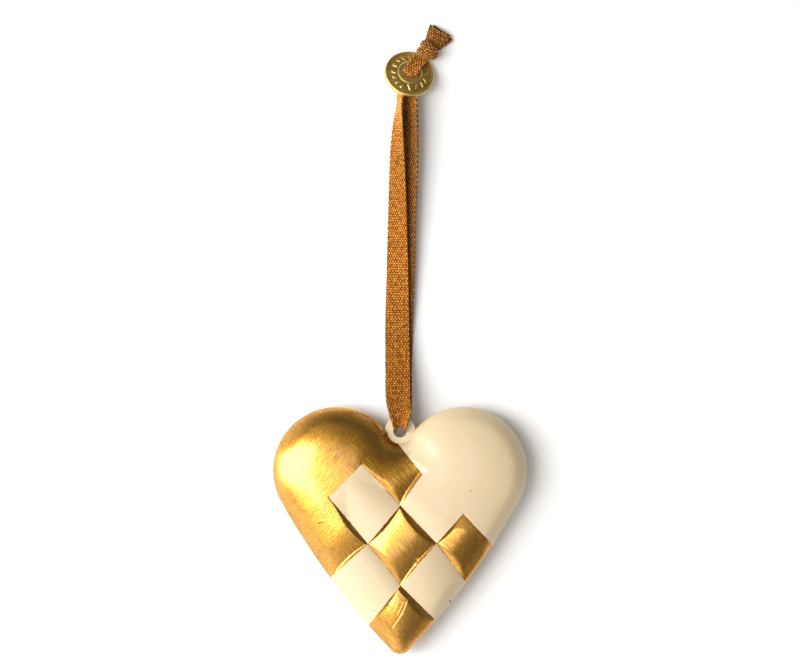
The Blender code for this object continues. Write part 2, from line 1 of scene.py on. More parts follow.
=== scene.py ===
"""A painted metal heart with its woven ribbon and brass disc, lying on a pale table.

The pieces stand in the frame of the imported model: +Y from the heart's tip towards the ribbon, +X to
the right and +Z up, out of the heart's front face. Lengths in the fields below are in metres unless
they are named in millimetres.
"""

from __future__ import annotations

import logging
import math
from dataclasses import dataclass
from enum import Enum

import bmesh
import bpy
import numpy as np
from mathutils import Matrix, Vector
from mathutils.geometry import delaunay_2d_cdt
from mathutils.kdtree import KDTree


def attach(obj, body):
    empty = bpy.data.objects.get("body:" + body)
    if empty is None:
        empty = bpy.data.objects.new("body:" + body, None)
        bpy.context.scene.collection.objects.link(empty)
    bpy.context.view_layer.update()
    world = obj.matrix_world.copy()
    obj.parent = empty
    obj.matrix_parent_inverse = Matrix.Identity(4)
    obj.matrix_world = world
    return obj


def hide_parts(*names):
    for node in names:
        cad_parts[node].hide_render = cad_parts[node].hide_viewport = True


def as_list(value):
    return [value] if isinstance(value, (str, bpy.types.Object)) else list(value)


MM = 0.001

Socket = bpy.types.NodeSocket
Material = bpy.types.Material
Piece = bpy.types.Object
# A point of the ribbon's route, the direction across it there, its width and its curl in degrees.
Stop = tuple[Vector, Vector, float, float]

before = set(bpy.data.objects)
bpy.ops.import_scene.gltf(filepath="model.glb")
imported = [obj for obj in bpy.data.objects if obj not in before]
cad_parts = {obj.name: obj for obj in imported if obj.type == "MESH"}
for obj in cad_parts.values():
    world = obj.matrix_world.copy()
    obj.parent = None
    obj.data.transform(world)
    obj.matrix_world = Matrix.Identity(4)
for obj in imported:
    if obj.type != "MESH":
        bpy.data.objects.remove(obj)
log = logging.getLogger("heart_ornament")


class Strand(Enum):
    """Which way a strand of the ribbon's loop leaves the tab."""

    FRONT = "ribbon_front_strand"
    BACK = "ribbon_back_strand"


class Slot(Enum):
    """The material slots of the record."""

    PAINT = "heart_paint"
    CLOTH = "ribbon_cloth"
    BRASS = "disc_brass"


def linear(colour: str) -> tuple[float, float, float, float]:
    """Linear RGBA of an sRGB colour such as "#c08020"."""
    channels = [int(colour[k : k + 2], 16) / 255 for k in (1, 3, 5)]
    return (*[c / 12.92 if c <= 0.04045 else ((c + 0.055) / 1.055) ** 2.4 for c in channels], 1.0)


def smooth_step(value: np.ndarray, low: float, high: float) -> np.ndarray:
    """0 below low, 1 above high and a smooth curve between."""
    t = np.clip((value - low) / (high - low), 0.0, 1.0)
    return t * t * (3.0 - 2.0 * t)


@dataclass
class Tree:
    """A node tree with short ways to add and join nodes."""

    tree: bpy.types.NodeTree

    def add(self, kind: str, inputs: dict | None = None, output: int | str = 0, **settings: object) -> Socket:
        """Adds a node.

        Args:
            kind: The node's type name.
            inputs: Values, sockets or lists of sockets by input name or number.
            output: The name or number of the output that is wanted.
            settings: Properties of the node itself.

        Returns:
            That output.
        """
        node = self.tree.nodes.new(kind)
        for name, value in settings.items():
            setattr(node, name, value)
        for key, value in (inputs or {}).items():
            for one in value if isinstance(value, list) else [value]:
                self.put(node.inputs[key], one)
        return node.outputs[output]

    def put(self, target: Socket, value: object) -> None:
        """Gives an input a value, or links a socket to it."""
        if isinstance(value, Socket):
            self.tree.links.new(value, target)
        else:
            target.default_value = value

    def maths(self, operation: str, *values: object) -> Socket:
        """The result of a math node on numbers or sockets."""
        return self.add("ShaderNodeMath", dict(enumerate(values)), operation=operation)

    def times(self, first: object, second: object) -> Socket:
        """The product of two numbers or sockets."""
        return self.maths("MULTIPLY", first, second)

    def times_add(self, first: object, second: object, third: object) -> Socket:
        """The product of two numbers or sockets, with a third added."""
        return self.maths("MULTIPLY_ADD", first, second, third)

    def vector(self, operation: str, first: object, second: object, output: str = "Vector") -> Socket:
        """The result of a vector math node."""
        key = "Scale" if operation == "SCALE" else 1
        return self.add("ShaderNodeVectorMath", {0: first, key: second}, output, operation=operation)

    def split(self, vector: Socket) -> tuple[Socket, ...]:
        """The three parts of a vector."""
        return tuple(self.add("ShaderNodeSeparateXYZ", {0: vector}).node.outputs)

    def place(self) -> Socket:
        """Where the shaded point lies in its object."""
        return self.add("ShaderNodeTexCoord", output="Object")

    def mesh_value(self, name: str) -> Socket:
        """A number that the mesh carries."""
        return self.add("ShaderNodeAttribute", output="Fac", attribute_name=name)

    def ramp(self, value: object, low: float, high: float, start: float = 0.0, end: float = 1.0) -> Socket:
        """A smooth change from start to end as the value goes from low to high."""
        inputs = dict(enumerate((value, low, high, start, end)))
        return self.add("ShaderNodeMapRange", inputs, interpolation_type="SMOOTHSTEP")

    def mix(self, factor: object, first: object, second: object) -> Socket:
        """The mix of two colours, as values or sockets."""
        return self.add("ShaderNodeMix", {0: factor, 6: first, 7: second}, 2, data_type="RGBA")

    def noise(self, vector: Socket, scale: float, detail: float = 2.0) -> Socket:
        """The value of a noise texture; one over the scale is the size of its grain in metres."""
        return self.add("ShaderNodeTexNoise", {"Vector": vector, "Scale": scale, "Detail": detail}, "Fac")

    def streaks(self, vector: Socket, degrees: float, across: float, stretch: float) -> Socket:
        """Noise drawn out along one direction in the plane, like the hairs of a brush."""
        turn = (0.0, 0.0, -math.radians(degrees))
        turned = self.add("ShaderNodeMapping", {"Vector": vector, "Rotation": turn})
        drawn = self.add("ShaderNodeMapping", {"Vector": turned, "Scale": (1.0 / stretch, 1.0, 1.0)})
        return self.noise(drawn, 1.0 / across, 3.0)

    def bump(self, strength: float, distance: float, height: Socket) -> Socket:
        """The normal of a finely uneven surface."""
        return self.add("ShaderNodeBump", {"Strength": strength, "Distance": distance, "Height": height})


@dataclass(frozen=True)
class Mark:
    """A short line or speck in the paint: its two ends in the plane and its half width, in millimetres."""

    x0: float
    y0: float
    x1: float
    y1: float
    half_width: float

    def share(self, tree: Tree, flat_place: Socket) -> Socket:
        """1 on the mark, 0 beside it."""
        start = Vector((self.x0, self.y0, 0.0)) * MM
        run = Vector((self.x1, self.y1, 0.0)) * MM - start
        offset = tree.vector("SUBTRACT", flat_place, start)
        share = tree.vector("DOT_PRODUCT", offset, run / run.length_squared, "Value")
        along = tree.add("ShaderNodeClamp", {0: share})
        apart = tree.vector("DISTANCE", offset, tree.vector("SCALE", run, along), "Value")
        return tree.ramp(apart, self.half_width * MM * 0.4, self.half_width * MM, 1.0, 0.0)


def all_marks(tree: Tree, flat_place: Socket, marks: tuple[Mark, ...]) -> Socket:
    """1 on any of the marks, 0 beside them."""
    total = marks[0].share(tree, flat_place)
    for mark in marks[1:]:
        total = tree.maths("MAXIMUM", total, mark.share(tree, flat_place))
    return total


def new_material(name: str) -> tuple[Material, Tree]:
    """A material with its node tree."""
    material = bpy.data.materials.new(name)
    material.use_nodes = True
    return material, Tree(material.node_tree)


def finished(material: Material, tree: Tree, inputs: dict[str, object]) -> Material:
    """The material, with values or sockets put on its Principled shader's inputs."""
    shader = material.node_tree.nodes["Principled BSDF"]
    for name, value in inputs.items():
        tree.put(shader.inputs[name], value)
    return material


@dataclass(frozen=True)
class HeartPaint:
    """Gold metallic paint, brushed on, beside plain cream enamel.

    The gold's streaks break its highlight into fine lines, and the cream has one wide soft sheen. A thin
    varnish over both makes the brightest spots nearly white.
    """

    gold: str = "#e0a01e"
    gold_streak: str = "#a36a06"
    gold_cloud: str = "#e6b03c"
    cream: str = "#dfcaa5"
    cream_cloud: str = "#d8c399"
    # Painted shade: this dark brown is mixed into the paint in the weave's low valleys and on the gold round
    # the tab's notch.
    seam: str = "#3a2200"
    scratch: str = "#ffd98a"
    speck: str = "#4a2c16"
    gold_roughness: float = 0.26
    cream_roughness: float = 0.34
    varnish_roughness: float = 0.16
    cloud_scale: float = 260.0
    fleck_scale: float = 2600.0
    wobble_scale: float = 900.0
    wobble: float = 0.00007
    edge_blur: float = 0.00005
    bump_height: float = 0.00006
    hair_width: float = 0.00022
    hair_stretch: float = 14.0
    left_brush: float = 52.0
    right_brush: float = -50.0
    brushes_meet: tuple[float, float] = (-0.016, -0.011)
    front_from: tuple[float, float] = (0.0054, 0.0056)
    # How low a valley must lie to get painted shade, and how strong that painted shade is on gold and on
    # cream.
    valley_depth: float = 0.00014
    valley_shade_on_gold: float = 0.55
    valley_shade_on_cream: float = 0.15
    scratch_share: float = 0.6
    speck_share: float = 0.95
    varnish: float = 0.35
    varnish_on_gold: float = 0.25
    varnish_ior: float = 1.5
    gold_ior_more: float = 0.45
    ridges: tuple[Mark, ...] = (
        Mark(0.2, -15.6, 1.9, -17.2, 0.16),
        Mark(1.9, -17.2, 0.7, -20.6, 0.2),
        Mark(0.7, -20.6, -1.8, -24.2, 0.17),
        Mark(0.9, -17.6, -0.6, -21.0, 0.15),
        Mark(-0.3, -17.4, -1.6, -20.2, 0.14),
        Mark(0.9, -19.6, -1.0, -23.2, 0.13),
        Mark(-4.8, 24.3, -4.1, 24.2, 0.13),
        Mark(-4.1, 24.2, -3.7, 24.9, 0.13),
        Mark(-3.35, 24.0, -3.3, 23.9, 0.17),
        Mark(-3.35, 23.0, -3.3, 22.9, 0.15),
    )
    specks: tuple[Mark, ...] = (
        Mark(-20.4, 2.0, -19.2, 2.2, 0.17),
        Mark(-24.8, 17.4, -24.7, 17.4, 0.14),
        Mark(17.6, 10.1, 17.7, 10.1, 0.17),
        Mark(12.4, -17.4, 12.8, -18.0, 0.25),
        Mark(-6.5, -19.9, -6.4, -19.8, 0.16),
        Mark(-1.9, -16.9, -1.8, -16.8, 0.14),
    )

    def build(self) -> Material:
        """The heart's material; its gold mask comes from the mesh's distance to the paint's edge."""
        material, tree = new_material("gold and cream enamel")
        place = tree.place()
        x, _, z = tree.split(place)
        is_gold = self.gold_mask(tree, place)
        hairs = self.brush_hairs(tree, place, x)
        cloud = tree.noise(place, self.cloud_scale, 3.0)
        fleck = tree.noise(place, self.fleck_scale, 1.0)
        flat_place = tree.vector("MULTIPLY", place, (1.0, 1.0, 0.0))
        front = tree.ramp(z, *self.front_from)
        ridges = tree.times(all_marks(tree, flat_place, self.ridges), front)
        specks = tree.times(all_marks(tree, flat_place, self.specks), front)
        gold = tree.mix(tree.ramp(hairs, 0.3, 0.7), linear(self.gold), linear(self.gold_streak))
        gold = tree.mix(tree.ramp(cloud, 0.35, 0.75, 0.0, 0.3), gold, linear(self.gold_cloud))
        cream = tree.mix(tree.ramp(cloud, 0.3, 0.8, 0.0, 0.5), linear(self.cream), linear(self.cream_cloud))
        colour = tree.mix(is_gold, cream, gold)
        colour = tree.mix(tree.times(ridges, self.scratch_share), colour, linear(self.scratch))
        colour = tree.mix(tree.times(specks, self.speck_share), colour, linear(self.speck))
        # Painted shade: the colour darkens towards the seam colour where the mesh's valley value is low, in
        # the weave's valleys and beside the tab's notch, more on gold than on cream.
        in_valley = tree.ramp(tree.mesh_value("valley"), 0.0, self.valley_depth, 1.0, 0.0)
        darkest = tree.times_add(is_gold, self.valley_shade_on_gold, self.valley_shade_on_cream)
        shade = tree.times(in_valley, darkest)
        rough = tree.times_add(hairs, 0.16, self.gold_roughness - 0.08)
        rough = tree.times_add(fleck, 0.1, tree.maths("SUBTRACT", rough, 0.05))
        cream_rough = tree.times(tree.maths("SUBTRACT", 1.0, is_gold), self.cream_roughness)
        bare = tree.times_add(ridges, -self.scratch_share, 1.0)
        relief = tree.times(hairs, is_gold)
        for part, height in ((fleck, 0.25), (cloud, 0.6), (ridges, 1.6), (specks, -1.2)):
            relief = tree.times_add(part, height, relief)
        inputs = {
            "Base Color": tree.mix(shade, colour, linear(self.seam)),
            "Metallic": tree.times(is_gold, bare),
            "Roughness": tree.times_add(rough, is_gold, cream_rough),
            "Normal": tree.bump(0.5, self.bump_height, relief),
            "Coat IOR": tree.times_add(is_gold, self.gold_ior_more, self.varnish_ior),
            "Coat Weight": tree.times_add(is_gold, self.varnish_on_gold, self.varnish),
            "Coat Roughness": self.varnish_roughness,
        }
        return finished(material, tree, inputs)

    def gold_mask(self, tree: Tree, place: Socket) -> Socket:
        """1 in the gold and 0 in the cream, with an edge that wanders a little."""
        noise = tree.noise(place, self.wobble_scale)
        wander = tree.times_add(noise, self.wobble * 2, -self.wobble)
        return tree.ramp(tree.maths("ADD", tree.mesh_value("paint"), wander), -self.edge_blur, self.edge_blur)

    def brush_hairs(self, tree: Tree, place: Socket, x: Socket) -> Socket:
        """The brush's streaks, which turn from one direction to another across the left lobe."""
        left = tree.streaks(place, self.left_brush, self.hair_width, self.hair_stretch)
        right = tree.streaks(place, self.right_brush, self.hair_width, self.hair_stretch)
        side = tree.ramp(x, *self.brushes_meet)
        from_left = tree.times(left, tree.maths("SUBTRACT", 1.0, side))
        return tree.maths("ADD", from_left, tree.times(right, side))


@dataclass(frozen=True)
class SatinThread:
    """Shiny twisted thread, a little uneven in colour, whose every bead has its own small highlight."""

    name: str = "caramel satin thread"
    light: str = "#dc962c"
    dark: str = "#9a5a10"
    uneven_scale: float = 1500.0
    roughness: float = 0.24
    sheen: float = 0.5
    specular: float = 0.7

    def build(self) -> Material:
        """The thread's material."""
        material, tree = new_material(self.name)
        uneven = tree.ramp(tree.noise(tree.place(), self.uneven_scale), 0.32, 0.68)
        inputs = {
            "Base Color": tree.mix(uneven, linear(self.light), linear(self.dark)),
            "Roughness": self.roughness,
            "Metallic": self.sheen,
            "Specular IOR Level": self.specular,
        }
        return finished(material, tree, inputs)


@dataclass(frozen=True)
class StampedBrass:
    """Old brass with a soft broad shine, darker where tarnish stays in its low places."""

    bright: str = "#e0c476"
    dull: str = "#b08d3c"
    cloud_scale: float = 700.0
    roughness: float = 0.42
    bump_height: float = 0.00005

    def build(self) -> Material:
        """The disc's material; the low places come from the mesh."""
        material, tree = new_material("stamped brass")
        cloud = tree.noise(tree.place(), self.cloud_scale, 4.0)
        patches = tree.ramp(cloud, 0.35, 0.75, 0.0, 0.5)
        tarnish = tree.times_add(tree.mesh_value("low"), 0.6, patches)
        inputs = {
            "Base Color": tree.mix(tarnish, linear(self.bright), linear(self.dull)),
            "Roughness": tree.times_add(cloud, 0.16, self.roughness - 0.08),
            "Normal": tree.bump(0.4, self.bump_height, cloud),
            "Metallic": 1.0,
        }
        return finished(material, tree, inputs)


@dataclass(frozen=True)
class PlainMatt:
    """One flat colour without any shine, for the table and for the painted shade between threads."""

    name: str
    colour: str
    roughness: float = 0.8

    def build(self) -> Material:
        """The material."""
        material, tree = new_material(self.name)
        return finished(material, tree, {"Base Color": linear(self.colour), "Roughness": self.roughness})


@dataclass(frozen=True)
class HeartShape:
    """The heart's outline in the seam's plane."""

    width: float = 0.0635
    height: float = 0.06175
    tip_radius: float = 0.003
    side_radius: float = 0.18
    tab_radius: float = 0.0038
    hole_radius: float = 0.00172
    tab_land: float = 0.0015
    lobe_bite: float = 0.000346

    @property
    def lobe_radius(self) -> float:
        """The radius of either lobe."""
        return self.width / 4

    @property
    def lobe(self) -> Vector:
        """The centre of the right lobe."""
        return Vector((self.width / 4, self.height / 2 - self.lobe_radius))

    @property
    def tip(self) -> Vector:
        """The centre of the rounded tip."""
        return Vector((0.0, self.tip_radius - self.height / 2))

    def side_arc(self) -> tuple[Vector, float, float]:
        """The curved right side: its centre, and its angles where it leaves the tip and meets the lobe."""
        between = self.lobe - self.tip
        ahead = between.normalized()
        from_tip, from_lobe = self.side_radius - self.tip_radius, self.side_radius - self.lobe_radius
        along = (from_tip**2 - from_lobe**2 + between.length_squared) / (2 * between.length)
        inward = math.sqrt(from_tip**2 - along**2)
        centre = self.tip + along * ahead + inward * Vector((-ahead.y, ahead.x))
        to_tip, to_lobe = self.tip - centre, self.lobe - centre
        return centre, math.atan2(to_tip.y, to_tip.x), math.atan2(to_lobe.y, to_lobe.x)

    @property
    def notch_radius(self) -> float:
        """The radius of the round notch below the tab's hole."""
        return self.hole_radius + self.tab_land

    @property
    def tab(self) -> Vector:
        """The centre of the tab and of its hole."""
        reach = self.lobe_radius + self.notch_radius - self.lobe_bite
        return Vector((0.0, self.lobe.y + math.sqrt(reach**2 - self.lobe.x**2)))

    def meeting(self, radius: float) -> tuple[float, float]:
        """Where the right lobe meets a circle about the tab: the angle on the lobe and on the circle."""
        between = self.tab - self.lobe
        apart, lobe = between.length, self.lobe_radius
        reach = (apart**2 + lobe**2 - radius**2) / (2 * apart * lobe)
        on_lobe = math.atan2(between.y, between.x) - math.acos(reach)
        outward = self.on_lobe(on_lobe) - self.tab
        return on_lobe, math.atan2(outward.y, outward.x)

    def on_lobe(self, angle: float) -> Vector:
        """A point of the right lobe's circle."""
        return self.lobe + self.lobe_radius * Vector((math.cos(angle), math.sin(angle)))

    def outline(self, over_the_tab: bool, step: float) -> np.ndarray:
        """The closed outline, counter-clockwise from the tip.

        Args:
            over_the_tab: Whether it runs round the tab, or else under its hole.
            step: The distance between points.

        Returns:
            The points, one a row.
        """
        side_centre, at_tip, at_lobe = self.side_arc()
        at_tab, on_tab = self.meeting(self.tab_radius)
        half = arc(self.tip, self.tip_radius, -math.pi / 2, at_tip, step)
        half += arc(side_centre, self.side_radius, at_tip, at_lobe, step)
        half += arc(self.lobe, self.lobe_radius, at_lobe, at_tab, step)
        half.append(self.on_lobe(at_tab))
        if over_the_tab:
            half += arc(self.tab, self.tab_radius, on_tab, math.pi / 2, step)[1:]
            half.append(self.tab + Vector((0.0, self.tab_radius)))
        else:
            at_notch, on_notch = self.meeting(self.notch_radius)
            half += arc(self.lobe, self.lobe_radius, at_tab, at_notch, step)[1:]
            half += arc(self.tab, self.notch_radius, on_notch, -math.pi / 2, step)
            half.append(self.tab - Vector((0.0, self.notch_radius)))
        return np.array([tuple(p) for p in half + [Vector((-p.x, p.y)) for p in reversed(half[1:-1])]])


def arc(centre: Vector, radius: float, start: float, end: float, step: float) -> list[Vector]:
    """Points along an arc, without its last point."""
    count = max(2, round(abs(end - start) * radius / step))
    angles = start + (end - start) * np.arange(count) / count
    return [centre + radius * Vector((math.cos(a), math.sin(a))) for a in angles]


def edge_distance(points: np.ndarray, outline: np.ndarray) -> np.ndarray:
    """How far each point lies from the nearest side of a closed outline."""
    side = np.roll(outline, -1, axis=0) - outline
    found = []
    for part in np.array_split(points, max(1, len(points) // 4000)):
        from_start = part[:, None] - outline[None]
        along = np.clip((from_start * side).sum(2) / (side**2).sum(1), 0.0, 1.0)
        found.append(np.linalg.norm(from_start - side * along[..., None], axis=2).min(1))
    return np.concatenate(found)


def smooth_depth(points: np.ndarray, outline: np.ndarray, power: float = 6.0) -> np.ndarray:
    """How deep each point lies inside an outline: a power mean of its distances, with no ridges."""
    ends = np.roll(outline, -1, axis=0)
    middles = (outline + ends) / 2
    lengths = np.linalg.norm(ends - outline, axis=1)
    found = []
    for part in np.array_split(points, max(1, len(points) // 4000)):
        apart = np.linalg.norm(part[:, None] - middles[None], axis=2)
        apart = np.maximum(apart, lengths[None] / 2)
        found.append((lengths[None] * apart**-power).sum(1) ** (-1 / (power - 1)))
    straight = math.sqrt(math.pi) * math.gamma(power / 2 - 0.5) / math.gamma(power / 2)
    return np.concatenate(found) * straight ** (1 / (power - 1))


def inside(points: np.ndarray, outline: np.ndarray) -> np.ndarray:
    """Whether each point lies inside a closed outline."""
    x, y = points[:, 0, None], points[:, 1, None]
    x0, y0 = outline[:, 0], outline[:, 1]
    x1, y1 = np.roll(x0, -1), np.roll(y0, -1)
    rise = np.where(y1 == y0, 1.0, y1 - y0)
    crossing = x0 + (y - y0) * (x1 - x0) / rise
    return ((((y0 > y) != (y1 > y)) & (x < crossing)).sum(1) % 2).astype(bool)


def lower_of(first: np.ndarray, second: np.ndarray, blend: float) -> np.ndarray:
    """The lower of two heights, with the corner between them rounded."""
    mix = np.clip(0.5 + 0.5 * (second - first) / blend, 0.0, 1.0)
    return second * (1 - mix) + first * mix - blend * mix * (1 - mix)


@dataclass(frozen=True)
class Weave:
    """The lattice of strips that the heart is pressed and painted with."""

    half_width: float = 0.03175
    depth: float = 0.00095
    slope: float = 0.72
    skirt_slope: float = 1.2
    rounding: float = 0.0004
    strips: int = 3
    lobe_fade_from: float = 2.3
    pocket_fade_from: float = 0.3
    dive_power: float = 0.75
    tip_calm: float = 0.6

    @property
    def grid(self) -> np.ndarray:
        """The lattice's crossings, [edge of strip A][edge of strip B]."""
        shares = [
            [(0.0, -1.027), (-0.244, -0.737), (-0.540, -0.361), (-0.806, 0.019)],
            [(0.263, -0.687), (0.003, -0.424), (-0.252, -0.098), (-0.554, 0.265)],
            [(0.515, -0.403), (0.287, -0.094), (0.003, 0.202), (-0.301, 0.526)],
            [(0.732, -0.113), (0.494, 0.139), (0.176, 0.447), (-0.071, 0.753)],
        ]
        return np.array(shares) * self.half_width

    def point(self, a: np.ndarray, b: np.ndarray) -> tuple[np.ndarray, np.ndarray, np.ndarray]:
        """Where lattice coordinates lie, and how the place changes along each of them."""
        grid = self.grid
        i = np.clip(np.floor(a), 0, self.strips - 1).astype(int)
        j = np.clip(np.floor(b), 0, self.strips - 1).astype(int)
        s, t = (a - i)[..., None], (b - j)[..., None]
        near = grid[i, j] * (1 - t) + grid[i, j + 1] * t
        far = grid[i + 1, j] * (1 - t) + grid[i + 1, j + 1] * t
        along_b = (grid[i, j + 1] - grid[i, j]) * (1 - s) + (grid[i + 1, j + 1] - grid[i + 1, j]) * s
        return near + (far - near) * s, far - near, along_b

    def coordinates(self, points: np.ndarray) -> tuple[np.ndarray, np.ndarray]:
        """The lattice coordinates of points, by Newton's method."""
        a = np.full(len(points), self.strips / 2)
        b = np.full(len(points), self.strips / 2)
        for _ in range(14):
            place, along_a, along_b = self.point(a, b)
            miss = points - place
            area = along_a[:, 0] * along_b[:, 1] - along_a[:, 1] * along_b[:, 0]
            a = a + np.clip((miss[:, 0] * along_b[:, 1] - miss[:, 1] * along_b[:, 0]) / area, -1.0, 1.0)
            b = b + np.clip((along_a[:, 0] * miss[:, 1] - along_a[:, 1] * miss[:, 0]) / area, -1.0, 1.0)
        return a, b

    def dive(self, along: np.ndarray, opens: np.ndarray) -> np.ndarray:
        """The height share of a strip along its run, low where it goes under the next strip."""
        arch = np.maximum(np.sin(np.pi * np.clip(along, 0.0, 1.0)), 0.0) ** self.dive_power
        return np.where(opens & (along > 0.5), 1.0, arch)

    def relief(self, points: np.ndarray) -> tuple[np.ndarray, np.ndarray]:
        """The pressed and painted pattern at points in the plane.

        Args:
            points: The points, one a row.

        Returns:
            The height of the strips and the distance into the gold paint, negative in the cream.
        """
        last = self.strips - 1
        a, b = self.coordinates(points)
        i = np.clip(np.floor(a), 0, last).astype(int)
        j = np.clip(np.floor(b), 0, last).astype(int)
        s, t = a - i, b - j
        side = np.sqrt(abs(np.linalg.det(np.stack(self.point(i + 0.5, j + 0.5)[1:], axis=1))))
        gold = (i + j) % 2 == 0
        along = np.where(gold, t, s)
        opens = np.where(gold, j == last, i == last)
        left_fade = smooth_step(b, self.lobe_fade_from, self.strips)
        right_fade = np.where(b < 1.0, smooth_step(a, self.lobe_fade_from, self.strips), 0.0)
        fade = np.maximum(left_fade, right_fade)
        calm = np.where((i == 0) & (j == 0), self.tip_calm, 0.0)
        strip = self.depth * np.maximum(self.dive(along, opens) * (1 - calm) + calm, fade)
        low = self.depth * fade + self.slope * side * s
        high = self.depth * fade + self.slope * side * (1 - s) + (i == last)
        walled = lower_of(lower_of(strip, low, self.rounding), high, self.rounding)
        beside_strip = self.depth * np.maximum(self.dive(s, i == last), fade)
        left_skirt = beside_strip - self.skirt_slope * side * t - (j == 0)
        skirt = np.maximum(left_skirt, beside_strip - self.skirt_slope * side * (1 - t) - (j == last))
        height = np.where(gold, -lower_of(-walled, -skirt, self.rounding), strip)
        beside = np.clip(b, last, self.strips) - last
        open_end = smooth_step(beside, self.pocket_fade_from, 1.0)
        pocket = self.depth * np.maximum(self.dive(beside, beside >= 0), open_end)
        away = (a - self.strips) * side
        lobe = lower_of(pocket + self.slope * away, np.full_like(pocket, self.depth), self.rounding)
        lobe = np.maximum(lobe, self.depth - self.skirt_slope * side * beside)
        height = np.where(a > self.strips, lobe, height)
        height = np.where(b > self.strips, self.depth, np.maximum(height, 0.0))
        from_left, from_right = s + (i == 0), t + (j == 0)
        into_gold = np.minimum.reduce([from_left, 1 - s, from_right, 1 - t + (j == last)])
        into_cream = np.minimum.reduce([from_left, 1 - s + (i == last), from_right, 1 - t])
        edge = np.where(gold, into_gold, -into_cream)
        right = -np.hypot(a - self.strips, np.maximum(np.minimum(b - 1, 2 - b), 0.0))
        left = np.hypot(b - self.strips, np.maximum(np.maximum(1 - a, a - 2), 0.0))
        left = np.where(a > self.strips, b - self.strips, left)
        edge = np.where(a > self.strips, right, edge)
        return height, np.where(b > self.strips, left, edge) * side


